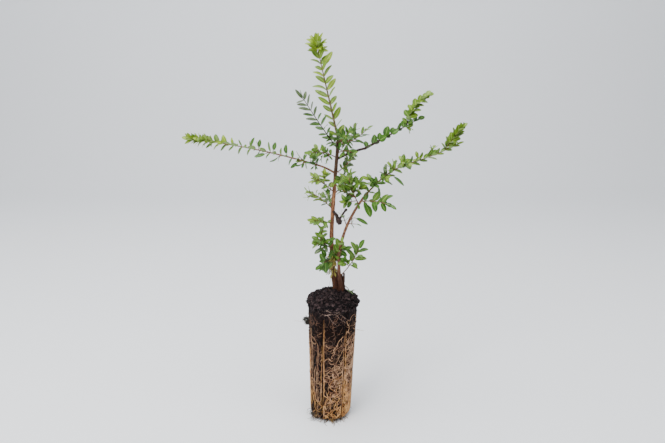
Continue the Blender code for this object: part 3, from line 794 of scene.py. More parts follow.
@dataclass(frozen=True)
class LeafShape:
    """The outline and cupping that all leaves share, at length and width one."""

    arch: float  # how far the blade bends down towards its tip, for its length
    fold: float  # how far the two halves stand up from the midrib, for its width
    thickness: float = 0.24  # millimetres
    rows: int = 8
    columns: tuple[float, ...] = (-1.0, -0.6, -0.09, 0.09, 0.6, 1.0)
    stalk: float = 0.07  # share of the length that is stalk

    def half_width(self, share: float) -> float:
        """The outline: a narrow stalk, then an ellipse that is broadest a little below its middle."""
        if share <= self.stalk:
            return 0.05
        blade = (share - self.stalk) / (1.0 - self.stalk)
        return max(0.02, 0.5 * math.sin(math.pi * min(1.0, blade) ** 0.92) ** 0.54)

    def template(self) -> tuple[np.ndarray, np.ndarray, np.ndarray]:
        """Works out the blade's upper and lower skins, which share their edge.

        Returns:
            For each point its place along, its place across, its rise for the length, its rise for
            the width and its drop for the thickness; then the quads, and the slot of each.
        """
        wide = len(self.columns)
        shares = [0.0, self.stalk] + [
            self.stalk + (1.0 - self.stalk) * (1.0 - math.cos(math.pi * k / self.rows)) / 2.0
            for k in range(1, self.rows + 1)
        ]
        points, numbers, quads, slots = [], {}, [], []
        for under in (False, True):
            for i, share in enumerate(shares):
                for j, column in enumerate(self.columns):
                    rim = i in (0, len(shares) - 1) or j in (0, wide - 1)
                    if under and rim:
                        numbers[under, i, j] = numbers[False, i, j]
                        continue
                    numbers[under, i, j] = len(points)
                    across = column * self.half_width(share)
                    rise = self.arch * (0.35 * math.sin(math.pi * share) - 0.65 * share * share)
                    points.append((share, across, rise, self.fold * abs(across), 1.0 if under else 0.0))
            for i in range(len(shares) - 1):
                for j in range(wide - 1):
                    ring = [(i, j), (i + 1, j), (i + 1, j + 1), (i, j + 1)]
                    corners = [numbers[under, *place] for place in ring]
                    quads.append(corners[::-1] if under else corners)
                    midrib = j == wide // 2 - 1
                    slots.append(2 if under else int(midrib))
        return np.array(points), np.array(quads), np.array(slots)


@dataclass
class Foliage:
    """All the leaves, kept by the record's material slot of the piece that they go into."""

    shapes: tuple[LeafShape, ...] = (
        LeafShape(0.08, 0.08), LeafShape(0.18, 0.05), LeafShape(0.0, 0.14), LeafShape(0.26, 0.10),
    )
    leaves: dict[str, list[Leaf]] = field(default_factory=dict)

    def add(self, slot: str, leaf: Leaf) -> None:
        """Keeps one leaf for the piece of this slot."""
        self.leaves.setdefault(slot, []).append(leaf)

    def piece(self, name: str, slot: str, nodes: tuple[str, ...]) -> None:
        """Joins the leaves kept under a name into a piece.

        Args:
            name: the piece's name.
            slot: the record's slot.
            nodes: the solids that the leaves stand for.
        """
        templates = [shape.template() for shape in self.shapes]
        rng = random.Random(name)
        leaves = self.leaves[name]
        tones = sorted({leaf.tone for leaf in leaves}, key=lambda tone: tone.name)
        pile = Pile()
        for leaf in leaves:
            shape = rng.randrange(len(self.shapes))
            points, quads, slots = templates[shape]
            along, across, *rises, under = (points[:, i : i + 1] for i in range(5))
            rise = leaf.length * rises[0] + leaf.width * rises[1] - self.shapes[shape].thickness * under
            placed = (
                np.array(leaf.foot)
                + leaf.length * along * np.array(leaf.axis)
                + leaf.width * across * np.array(leaf.normal.cross(leaf.axis))
                + rise * np.array(leaf.normal)
            )
            pile.add(placed, [quads])
            pile.slots[-len(quads) :] = (slots + 3 * tones.index(leaf.tone)).tolist()
        pile.make(name, slot, [finish for tone in tones for finish in tone.finishes()], nodes, 60.0)


# ---- stems and twigs


@dataclass(frozen=True)
class Wood:
    """How a stem's or twig's mesh shows its bark: ridges along it, and a swelling at each joint."""

    sides: int = 24
    spacing: float = 0.7
    ridge: float = 0.09  # depth of the bark's ridges for the radius
    lump: float = 0.10  # depth of the slower lumps for the radius

    def skin(self, grown: Grown, start: Vector, bark: float = 0.0) -> Mesh:
        """Builds one limb's mesh.

        Args:
            grown: the limb.
            start: a point inside its parent, where the mesh begins.
            bark: the thickness of its loose bark.

        Returns:
            Its points and faces.
        """
        route = grown.route
        count = max(6, round(route.length / self.spacing))
        line = route.points(count)
        gap = (line[0] - start).length
        lead = [start.lerp(line[0], k / 3) for k in range(3)] if gap > 0.2 else []
        shares = [0.0] * len(lead) + [k / (count - 1) for k in range(count)]
        points = as_array(lead + line)
        radii = np.array([grown.radius(share) + bark for share in shares])
        relief = np.empty((len(points), self.sides))
        for i, ((x, _, z), radius) in enumerate(zip(points, radii)):
            for j, turn in enumerate(2.0 * np.pi * np.arange(self.sides) / self.sides):
                out, up = math.cos(turn), math.sin(turn)
                ridges = noise.noise(Vector((out * 1.6, up * 1.6, z * 0.10 + x * 0.1)) * 2.0)
                lumps = noise.noise(Vector((out * 0.5, up * 0.5, z * 0.16 + x * 0.16)))
                relief[i, j] = radius * (self.ridge * ridges + self.lump * lumps)
        return tube(points, radii, self.sides, relief)


LIMBS = (
    Limb(
        "trunk", BALL, 0, (1.8, -4, 156), (2.1, 1.3), (6.3, 8, 135), bow=(-5, 0, 0), sway=(-1, 0, 0),
        flare=0.9, flare_height=17, bark=0.32, rind=Rind.OLD,
    ),
    Limb(
        "second_stem", BALL, 0, (18.7, -17, 103.8), (1.6, 1), (13.2, 5, 135), bow=(-12.2, 0, 0),
        sway=(0.2, 0, 0), flare=1.2, flare_height=17, bark=0.2,
    ),
    Limb("left_bough", "trunk", 0.795, (-13, 1.7, 5.9), (0.95, 0.8), bow=(0, 0, 0.5)),
    Limb(
        "right_bough", "trunk", 0.885, (24.6, 6.6, 8), (1, 0.8), bow=(0, 0, 1), bark=0.3,
        rind=Rind.DARK,
    ),
)

SPRAYS = (
    Spray("leader_spray", "trunk", tones=(FRESH, FRESH, NEW), rind=Rind.OLIVE,
        stem=Shoot((-19.6, -4, 85), 14, 16.2, radius=1.25, slim=0.42, bare=0.05, crowd=1.3, spread=(52, 44),
            roll=-14, turn=50, display=0.9, tip_leaf=0.78, ragged=0.25),
        more=(
            side((-1.8, -2, 9), 0.95, 7, 13.4, NEW, slim=0.46, bare=0.05, spread=(66, 24), turn=52,
                display=0.88, tip_leaf=0.6),
            side((0.6, -3.4, 6), 0.96, 4, 11.6, NEW, slim=0.46, bare=0.1, spread=(76, 30), roll=24, turn=48,
                display=0.88),
            lone((1.6, -0.8, 3.6), 0.77, 14.6, NEW, 0.42, 1))),
    Spray("left_spray", "left_bough", tones=(DEEP, MID, NEW),
        stem=Shoot((-126.5, 15.3, 23.2), 36, 11.6, bow=(0, 0, 3.2), radius=0.9, slim=0.44, bare=0.02,
            crowd=1.8, spread=(84, 38), roll=2, turn=76, display=0.6, tip_leaf=0.85, rise=0.12, ragged=0.3),
        more=(
            side((-3, -3, 7), 0.02, 3, 8, DEEP, bare=0.3),
            side((-1, -2, 3.4), 0.06, 1, 10, DEEP, tip_leaf=1),
            side((-3, -2, 3.5), 0.12, 1, 9.5, MID, tip_leaf=1),
            side((-4, -2, -1.6), 0.1, 1, 10, DEEP, slim=0.3, tip_leaf=1),
            lone((-2.6, -2, -2.4), 0.15, 9, DEEP, 0.4), side((-2, -2, -2), 0.03, 1, 7, DEEP, slim=0.4),
            side((-26, 2, 5.6), 0.68, 7, 9, FRESH, roll=40, rise=0.2),
            side((-20, 2, 4), 0.8, 8, 9.6, NEW, roll=20, rise=0.2),
            side((-14, 3, 1), 0.85, 7, 9, NEW, roll=60, rise=0.2),
            lone((-3.4, -1, -1.4), 0.39, 11.5, DEEP, 0.38, 0.9),
            lone((-2.6, -1, -2.2), 0.3, 9.4, DEEP, 0.36), lone((-0.6, -1, 3), 0.25, 9.6, DEEP, 0.42, 0.9),
            lone((0.6, -1, 3), 0.53, 9.4, DEEP, 0.42, 0.9), lone((0.3, -1, 3), 0.47, 8.4, DEEP, 0.44, 0.9),
            lone((0.6, -1, 3), 0.36, 9.4, DEEP, 0.42, 0.9))),
    Spray("right_spray", "right_bough", tones=(MID, FRESH, FRESH), finer=1, rind=Rind.DARK,
        stem=Shoot((53, 15, 26.5), 9, 11.6, radius=1.35, slim=0.72, bare=0.03, crowd=1.1, spread=(62, 30),
            roll=50, turn=80, display=0.75, rise=0.8, ragged=0.3, tone=DEEP),
        twigs=(
            side((20, 1.5, 29), 0.78, 13, 9.6, bow=(-3.6, 0, 1.8), radius=0.6, slim=0.8, bare=0.06,
                crowd=1.3, spread=(60, 26), roll=20, turn=74, display=0.8),)),
    Spray("lower_right_spray", "second_stem", tones=(DEEP, MID, FRESH), finer=3, rind=Rind.OLIVE,
        stem=Shoot((81, -20, 53), 21, 11.6, bow=(0, 0, 7.6), sway=(0, 0, 3.2), radius=0.95, bare=0.05,
            crowd=1.05, spread=(66, 26), roll=10, turn=76, display=0.6, rise=0.4, ragged=0.3),
        twigs=(
            side((14.5, -4, 21), 0.87, 13, 9.8, FRESH, radius=0.6, slim=0.7, bare=0.04, crowd=1.3,
                spread=(54, 14), turn=70, display=0.6),
            side((-6, -6, 8), 0.12, 3, 9.5, radius=0.45, bare=0.3, roll=30),
            side((4, 9, 7), 0.3, 3, 8.5, radius=0.45, bare=0.3)),
        more=(
            side((-1, -4, 2), 0.13, 3, 8.4, DEEP, radius=0.4, slim=0.6, display=0.9),
            side((0, -1, 6), 0.24, 2, 9.8, DUSKY, slim=0.36), lone((4, -2, -2.2), 0.28, 14, DEEP, 0.38),
            lone((3, -1, -1), 0.2, 9, DUSKY, 0.25), lone((1, -2, -3), 0.15, 8, DEEP, 0.62),
            side((-4, -3, 5), 0.34, 2, 8.6, FRESH, slim=0.4), side((-3, -3, 4), 0.46, 2, 8.6, FRESH),
            side((-1, -3, 4), 0.6, 2, 8, FRESH))),
    Spray("upper_left_spray", "trunk", tones=(DEEP, DEEP, DUSKY), rind=Rind.DARK,
        stem=Shoot((-28.5, -18, 44.5), 9, 11.6, 0.945, bow=(-0.2, 0, -0.6), slim=0.48, bare=0.08,
            spread=(60, 40), roll=6, turn=24, display=0.34, tip_leaf=0.95, ragged=0.1),
        more=(
            side((-1.6, -0.4, 1.5), 1, 1, 11, DUSKY, slim=0.36, spread=(66, 60), display=0.9, tip_leaf=1),)),
    Spray("crown_right_spray", "trunk", tones=(DEEP, DEEP, MID), finer=1,
        stem=Shoot((27.5, 18, 12.5), 6, 11.4, 0.97, bow=(0, 0, -3.2), slim=0.4, bare=0.25, crowd=1.05,
            roll=10, turn=66, display=0.75),
        twigs=(
            side((5, 6, 13), 0.34, 4, 9.4, radius=0.45, slim=0.45, bare=0.25),
            side((9, -2, 7), 0.18, 3, 9, radius=0.45, slim=0.4, bare=0.3))),
    Spray("crown_front_spray", "trunk", tones=(DEEP, DEEP, MID), finer=1,
        stem=Shoot((8, -13, 11), 5, 10, 0.985, bow=(0.8, 0, -1), radius=0.55, slim=0.42, roll=20,
            display=0.75),
        more=(
            side((-8, -1, 3), 0.02, 3, 8.6, DEEP, radius=0.4, slim=0.36, display=0.6),
            side((-6, -3, -3), 0.05, 2, 8.6, DEEP, radius=0.4, slim=0.36, display=0.6),
            side((-3, -3, 7), 0.15, 2, 9.5, DEEP, radius=0.4, slim=0.36, display=0.6),
            side((5, -3, -5), 0.1, 1, 9, DEEP, radius=0.4, slim=0.36, display=0.6))),
    Spray("crown_low_spray", "trunk", tones=(DEEP, DEEP, DEEP), finer=1,
        stem=Shoot((14, -12, 1), 4, 8.8, 0.925, bow=(0, 0, 2), radius=0.5, slim=0.38, bare=0.3, roll=60,
            display=0.75),
        more=(
            side((2, -3, 6), 0.15, 2, 9, DEEP, radius=0.4, slim=0.36, display=0.7),
            side((3, -2, -5), 0.3, 2, 8.5, MID, radius=0.4, slim=0.36, display=0.7))),
    Spray("crown_back_spray", "trunk", finer=3,
        stem=Shoot((4, 27, 17), 6, 9.6, 0.93, bow=(0, 0, -2), crowd=1.25, display=0.5),
        twigs=(side((-8, 9, 6), 0.35, 3, 8.8, radius=0.45, bare=0.3),)),
    Spray("inner_left_spray", "trunk", finer=1,
        stem=Shoot((-24, -14, 6), 6, 9.4, 0.895, bow=(0, 0, 2.4), radius=0.55, slim=0.6, roll=30, turn=70,
            display=0.65),
        more=(
            side((-1.5, 1, -6), 0.25, 2, 7.5, slim=0.4), side((-2, 2, -5), 0.45, 2, 7.5, DEEP, slim=0.4),
            side((-3, -2, 4), 0.6, 2, 8, FRESH))),
    Spray("fork_spray", "trunk", tones=(MID, DUSKY, MID), finer=1,
        stem=Shoot((16, -16.5, 20), 6, 7.8, 0.79, bow=(0.6, 0, -1.2), bare=0.25, roll=15, turn=60,
            display=0.7),
        more=(
            lone((2, -1.5, -1), 0.02, 9.8, FRESH, 0.42), side((3, -3, 1.5), 0.35, 2, 8, DEEP))),
    Spray("trunk_front_spray", "trunk", tones=(MID, MID, FRESH), finer=3,
        stem=Shoot((8.5, -10, 0.5), 3, 11, 0.755, bow=(0, 0, 1.2), radius=0.5, spread=(80, 60), roll=70,
            turn=50, display=0.7),
        more=(
            lone((1.2, -2, -2.5), 0.15, 9.8, MID, 0.46), side((-1, -3, -6), 0.55, 2, 9, FRESH),
            side((4, -2, -6.5), 0.75, 2, 9, MID))),
    Spray("mid_left_upper_spray", "trunk", tones=(MID, FRESH, NEW), finer=1,
        stem=Shoot((-18, -17, 17), 6, 9.6, 0.675, bow=(-1.2, 0, 1.8), radius=0.55, slim=0.46, crowd=1.05,
            roll=30, turn=70, display=0.75),
        twigs=(side((0.5, -6, 10.5), 0.38, 5, 8.6, radius=0.4, slim=0.55, bare=0.3),),
        more=(
            lone((0.1, -1, 2), 0.08, 7, NEW, 0.8, 1), lone((-0.9, -0.8, -0.5), 0.06, 6.5, DEEP, 0.6, 1))),
    Spray("mid_left_lower_spray", "trunk", tones=(DUSKY, FRESH, FRESH), finer=1,
        stem=Shoot((-20.5, -14, 19), 7, 9.4, 0.565, bow=(0.4, 0, 1.2), radius=0.5, slim=0.36, crowd=1.1,
            spread=(50, 24), roll=8, turn=40, display=0.2, tip_leaf=0.85)),
    Spray("mid_back_spray", "trunk", finer=3,
        stem=Shoot((-10, 22, 4), 5, 8.8, 0.585, bow=(0, 0, 1.6), radius=0.5, crowd=1.25, roll=40,
            display=0.5),
        twigs=(side((-1, 8, 7), 0.4, 3, 8, radius=0.45, bare=0.3),)),
    Spray("back_right_spray", "trunk", tones=(DEEP, DEEP, MID), finer=3,
        stem=Shoot((20, 29, 9), 6, 10.2, 0.66, bow=(0, 0, 2), slim=0.52, crowd=1.25, roll=20, turn=80,
            display=0.5),
        twigs=(side((1, 11, 8), 0.4, 4, 8.8, radius=0.45, bare=0.25),)),
    Spray("inner_right_spray", "second_stem", tones=(DEEP, MID, FRESH),
        stem=Shoot((-8.5, -3, 22), 5, 12, 0.93, bow=(-0.6, 0, 0), slim=0.55, bare=0.25, roll=30, turn=62,
            display=0.8),
        twigs=(
            side((-13.5, 2, 7.5), 0.22, 4, 10.4, radius=0.5, bare=0.35),
            side((-12, -6, 0), 0.08, 4, 9.6, radius=0.5, slim=0.55, bare=0.4),
            side((8, -5, 6), 0.45, 3, 10, radius=0.45, bare=0.3)),
        more=(
            side((0.5, -2, 8), 0.95, 3, 9.2, MID, display=0.7),
            side((7, -5, 12), 0.5, 4, 9.6, MID, display=0.7), lone((-3, -3, -1), 0.3, 9.6, DEEP, 0.62),
            side((1, -3, -3), 0.02, 2, 5.4, MID), side((3, -3, 7), 0.72, 2, 9, DEEP, slim=0.36))),
    Spray("under_spray", "second_stem", tones=(DEEP, MID, DEEP),
        stem=Shoot((24, -17, 0.5), 6, 12.4, 0.965, bow=(0, 0, 1.6), slim=0.52, bare=0.06, spread=(72, 40),
            roll=20, turn=76, display=0.8),
        more=(
            lone((1.5, -2, -1.8), 0.02, 15, DEEP, 0.52, 0.8),
            side((3, -1, 3), 0.7, 1, 9, DEEP, slim=0.6, tip_leaf=1))),
    Spray("second_stem_spray", "second_stem", tones=(DUSKY, DUSKY, FRESH),
        stem=Shoot((-3.5, 4, 10), 3, 7.4, 0.71, radius=0.45, slim=0.3, bare=0.3, spread=(70, 30),
            display=0.1)),
    Spray("second_stem_side_spray", "second_stem", tones=(DEEP, DEEP, DEEP),
        stem=Shoot((6, -5, 1), 1, 7, 0.74, radius=0.45, slim=0.24, spread=(40, 24), display=0.15,
            tip_leaf=0.9),
        more=(lone((4, -1, 6), 0.3, 13.6, DEEP, 0.36, 0.7, bow=(-1.5, 0, 2.3)),)),
    Spray("low_left_upper_spray", "trunk", tones=(MID, MID, FRESH), finer=1,
        stem=Shoot((-16, -17, 7), 5, 9.8, 0.47, bow=(0, 0, 0.8), radius=0.5, slim=0.48, roll=40, turn=70,
            display=0.55, tip_leaf=0.85)),
    Spray("low_left_lower_spray", "trunk",
        stem=Shoot((-7.5, -17, 24), 7, 11.2, 0.285, bow=(-4.5, 0, -0.8), radius=0.55, bare=0.1,
            spread=(64, 36), roll=20, turn=66, display=0.75),
        twigs=(side((-8, -5, 1), 0.3, 3, 9, radius=0.4, slim=0.45, bare=0.3),),
        more=(
            side((-4, -3, 2), 0.45, 1, 9.5, MID, display=0.7, tip_leaf=1),
            side((4, -3, 3), 0.35, 1, 10, DEEP, display=0.7, tip_leaf=1),
            side((-4, -2, -3), 0.2, 1, 9.5, DUSKY, display=0.6, tip_leaf=1))),
    Spray("base_left_spray", "trunk", tones=(DEEP, DEEP, DEEP),
        stem=Shoot((-10, -12, -3), 4, 12, 0.235, bow=(0, 0, 1.2), radius=0.5, bare=0.1, spread=(84, 50),
            turn=60, display=0.7),
        more=(
            side((-4, -2, -6), 0.35, 2, 10, DEEP, slim=0.4, display=0.6),
            side((-3, -2, 5), 0.25, 2, 10.5, DEEP, display=0.8),
            side((0.6, -2, -5), 0.2, 1, 8, DUSKY, slim=0.25))),
    Spray("base_front_spray", "trunk", tones=(MID, MID, FRESH),
        stem=Shoot((7, -12.5, 23), 6, 12, 0.195, bow=(1, 0, 0), radius=0.5, slim=0.55, bare=0.12,
            spread=(60, 26), roll=20, turn=74, display=0.8),
        more=(
            lone((2, -3, -2.2), 0.1, 11, FRESH, 0.5, 0.8),
            side((4, -3, 0.6), 0.16, 1, 10.5, MID, slim=0.45, display=0.7, tip_leaf=1),
            side((3.5, -2, 2), 0.55, 1, 11.5, DEEP, slim=0.55, display=0.8, tip_leaf=1),
            side((-3, -4, 1), 0.12, 3, 6.6, DRY, slim=0.3), side((0.6, -4, -3), 0.1, 3, 6.8, DRY, slim=0.3),
            side((-2.6, -2, -3.4), 0.12, 1, 9.6, MID, slim=0.4, display=0.8, tip_leaf=1),
            side((-0.6, -2, 3.4), 0.08, 1, 10.4, DEEP, slim=0.42, display=0.9),
            side((-2, -3, 3), 0.3, 1, 9, DEEP, slim=0.45))),
    Spray("base_right_spray", "second_stem", tones=(MID, MID, DEEP),
        stem=Shoot((16.5, -11, 31), 5, 13.4, 0.17, bow=(1.4, 0, -1), slim=0.52, bare=0.4, crowd=0.95,
            spread=(70, 34), roll=5, turn=50, display=0.7, tip_leaf=0.85),
        twigs=(side((-5, -4, 6), 0.35, 3, 10, radius=0.4, slim=0.6, bare=0.4),)),
    Spray("base_back_spray", "trunk", tones=(DEEP, DEEP, MID), finer=3,
        stem=Shoot((3, 24, 12), 5, 10, 0.16, bow=(0, 0, 1), radius=0.55, crowd=1.25, roll=30, display=0.5),
        twigs=(side((7, 6, 5), 0.55, 3, 8.6, radius=0.45, bare=0.3),)),
)


@dataclass(frozen=True)
class Knot:
    """An old stem base at the soil, cut or broken off long ago."""

    foot: Triple
    top: Triple
    radii: tuple[float, float]
    sides: int = 16
    spacing: float = 0.8
    lump: float = 0.34  # depth of its lumps for the radius
    lump_round: float = 2.2  # how fast the lumps change round it
    lump_along: float = 0.22  # and along it

    def mesh(self) -> Mesh:
        """Builds its lumpy bark and blunt top."""
        foot, top = Vector(self.foot), Vector(self.top)
        shares = np.linspace(0.0, 1.0, max(8, round((top - foot).length / self.spacing)))
        line = as_array([foot.lerp(top, share) for share in shares])
        radii = self.radii[0] + (self.radii[1] - self.radii[0]) * shares
        turns = 2.0 * np.pi * np.arange(self.sides) / self.sides
        relief = np.empty((len(line), self.sides))
        wide, high = self.lump_round, self.lump_along
        for i, (point, radius) in enumerate(zip(line, radii)):
            for j, turn in enumerate(turns):
                place = Vector((wide * math.cos(turn), wide * math.sin(turn), high * point[2])) + foot
                relief[i, j] = self.lump * radius * noise.noise(place)
        return tube(line, radii, self.sides, relief)


@dataclass(frozen=True)
class Stub:
    """The dead stub on the trunk, with the withered shoot that curls up from it."""

    at: float = 0.56
    reach: Triple = (6.4, -9, -9.5)
    sway: Triple = (0.5, 0.3, 0)
    curl: Triple = (7.4, -2.5, 13.6)
    curl_bow: Triple = (-1.6, 0, -1.4)
    foot_radius: float = 0.8
    knob: float = 0.28  # depth of its knobs for the radius
    swell: tuple[tuple[float, ...], tuple[float, ...]] = (
        (0, 0.35, 0.6, 0.8, 0.93, 1), (1.35, 1.6, 2.1, 2.8, 2.4, 1.1),
    )  # shares of its length, and the radius at each
    thick: tuple[tuple[float, ...], tuple[float, ...]] = (
        (0, 0.6, 0.86, 0.95, 1), (1.4, 1, 1, 1.5, 0.9),
    )  # the same for the curl

    def build(self, trunk: Grown, slot: str) -> None:
        """Builds the stub and its curl.

        Args:
            trunk: the trunk that it stands on.
            slot: the record's slot, passed on to the piece.
        """
        rows, sides, curl_rows = 30, 12, 20
        reach = Vector(self.reach)
        foot = foot_on(trunk, self.at, reach, self.foot_radius)
        route = Route(foot, reach, Vector(STILL), Vector(self.sway))
        points = np.vstack([trunk.route.at(self.at), as_array(route.points(rows))])
        radii = np.concatenate([[self.foot_radius], np.interp(np.linspace(0.0, 1.0, rows), *self.swell)])
        rng = random.Random("stub")
        knobs = np.array([[rng.uniform(-self.knob, self.knob) for _ in range(sides)] for _ in radii])
        pile = Pile()
        pile.add(*tube(points, radii, sides, knobs * radii[:, None]))
        curl = Route(route.at(0.8), Vector(self.curl), Vector(self.curl_bow), Vector(STILL))
        thick = np.interp(np.linspace(0.0, 1.0, curl_rows), *self.thick)
        pile.add(*tube(as_array(curl.points(curl_rows)), thick, 8))
        pile.make("dead_stub", slot, [Rind.DEAD.value], ("pruned_stub",), 50.0)


@dataclass
class Plant:
    """The stems, boughs and leafy sprays, grown on from one another."""

    wood: Wood = Wood()
    twig_wood: Wood = Wood(sides=7, spacing=1.6, ridge=0.05, lump=0.06)
    stub: Stub = Stub()
    clearance: float = 0.3  # between a leaf and a limb that isn't its own
    knots: tuple[Knot, ...] = (
        Knot((8.8, 6.4, 133), (7.4, 5.4, 158.5), (2.9, 1.1)),
        Knot((11.8, 5.6, 133), (11.4, 4.8, 155), (2.6, 1.3)),
        Knot((9.6, 3.4, 133), (9.4, 3.4, 150), (2.3, 1.3)),
        Knot((12.8, 4, 134), (14.3, 3.4, 156.5), (1.9, 0.9)),
        Knot((13.2, 2.8, 134), (14.2, 2.4, 144.5), (1.7, 1.2)),
        Knot((6.9, 4.8, 133), (6.2, 4.2, 149), (1.8, 0.9)),
        Knot((12, 9, 133), (12.8, 10, 150), (2.5, 1.4)),
        Knot((7.4, 10.4, 133), (6.6, 11.4, 147), (2.3, 1.2)),
    )
    withered: int = 30  # dry leaves that cling to the trunk's foot
    withered_from: float = 0.13  # the share of the trunk's length where they start
    withered_over: float = 0.14  # and the share that they cover
    litter: tuple[tuple[Triple, Triple, float, Tone], ...] = (
        ((19.6, -1.2, 138.8), (24.6, -2.4, 141.2), 2.6, DEEP),
        ((16, 1, 139.5), (23.5, -5, 138.6), 2.4, DUSKY),
        ((19, -3, 138.8), (25, -2, 141), 1.8, DUSKY),
    )  # foot, tip, width and green of each fallen leaf
    grown: dict[str, Grown] = field(default_factory=dict)
    foliage: Foliage = field(default_factory=Foliage)

    def build(self) -> None:
        """Builds every limb, then every spray's twigs and leaves."""
        slots = {row["node"]: row["material_slot"] for row in frame["record"]["subparts"]}
        for limb in LIMBS:
            self.limb(limb, slots[limb.name])
        self.stub.build(self.grown["trunk"], slots["pruned_stub"])
        twigs = Pile()
        groups: dict[str, list[str]] = {}
        for spray in SPRAYS:
            groups.setdefault(slots[spray.name], []).append(spray.name)
            self.spray(spray, slots[spray.name], twigs)
        twigs.make("leafy_twigs", "young_bark", [rind.value for rind in Rind], sharp=50.0)
        for slot, nodes in groups.items():
            self.foliage.piece(slot, slot, tuple(nodes))
        self.wither()
        self.foliage.piece("withered_leaves", slots["pruned_stub"], ())

    def wither(self) -> None:
        """Hangs the dry leaves at the trunk's foot, and drops the litter beside it."""
        rng = random.Random("withered")
        slot = "withered_leaves"
        trunk = self.grown["trunk"]
        for k in range(self.withered):
            share = self.withered_from + self.withered_over * (k + rng.random()) / self.withered
            turn = math.radians(rng.uniform(-150.0, 60.0) - 90.0)
            out = Vector((math.cos(turn), math.sin(turn), 0.0))
            foot = trunk.route.at(share) + (trunk.radius(share) + rng.uniform(0.0, 1.2)) * out
            axis = (out * rng.uniform(0.2, 0.9) - UP * rng.choice((-0.7, 0.5, 0.9))).normalized()
            normal = (out - out.dot(axis) * axis).normalized()
            length = rng.uniform(4.0, 7.0)
            self.foliage.add(slot, Leaf(foot, axis, normal, length, 0.42 * length, DRY))
        for foot, tip, width, tone in self.litter:
            reach = Vector(tip) - Vector(foot)
            axis = reach.normalized()
            normal = (UP - UP.dot(axis) * axis).normalized()
            self.foliage.add(slot, Leaf(Vector(foot), axis, normal, reach.length, width, tone))

    def limb(self, limb: Limb, slot: str) -> None:
        """Builds one bare limb with its bark, and the old stem bases round the trunk.

        Args:
            limb: its sizes.
            slot: the record's slot, passed on to the piece.
        """
        reach = Vector(limb.reach)
        if limb.foot:
            foot = Vector(limb.foot)
            start = foot - 2.0 * UP
        else:
            parent = self.grown[limb.parent]
            foot = foot_on(parent, limb.at, reach, limb.radii[0])
            start = parent.route.at(min(limb.at, 1.0))
        grown = Grown(route_of(foot, limb), (*limb.radii, limb.flare, limb.flare_height))
        self.grown[limb.name] = grown
        pile, finishes = Pile(), [limb.rind.value]
        pile.add(*self.wood.skin(grown, start, limb.bark))
        if limb.name == "trunk":
            finishes.append(Rind.BASE.value)
            for knot in self.knots:
                pile.add(*knot.mesh(), 1)
        pile.make(f"{limb.name}_bark", slot, finishes, (limb.name,), 50.0)

    def spray(self, spray: Spray, slot: str, twigs: Pile) -> None:
        """Grows one spray's twigs and leaves.

        Args:
            spray: its rule.
            slot: the record's slot of its leaves.
            twigs: where its twigs' meshes are put.
        """
        parent = self.grown[spray.parent]
        stem = spray.stem
        route = route_of(foot_on(parent, stem.at, Vector(stem.reach), stem.radius), stem)
        finer = random.Random(spray.name + " finer")
        hues = random.Random(spray.name + " hues")
        rng = random.Random(spray.name)
        shoots = [stem, *spray.twigs, *spray.more, *finer_shoots(spray, finer)]
        for k, shoot in enumerate(shoots):
            line = route_of(route.at(shoot.at), shoot) if k else route
            start = line.foot if k else parent.route.at(min(stem.at, 1.0))
            mesh = self.twig_wood.skin(Grown(line, (shoot.radius, TIP_RADIUS, 0.0, 1.0)), start)
            twigs.add(*mesh, list(Rind).index(spray.rind))
            draws = rng if k <= len(spray.twigs) else finer
            for leaf in leaves_of(shoot, line, spray.tones, draws, hues):
                if self.clear(leaf):
                    self.foliage.add(slot, leaf)

    def clear(self, leaf: Leaf) -> bool:
        """Whether a leaf keeps off the bare limbs."""
        for share in (0.35, 0.6, 0.85, 1.0):
            point = leaf.foot + share * leaf.length * leaf.axis
            for grown in self.grown.values():
                along = (point.z - grown.route.foot.z) / grown.route.reach.z
                if 0.0 <= along <= 1.0:
                    away = (point - grown.route.at(along)).length
                    if away < grown.radius(along) + self.clearance:
                        return False
        return True


# ---- the root ball


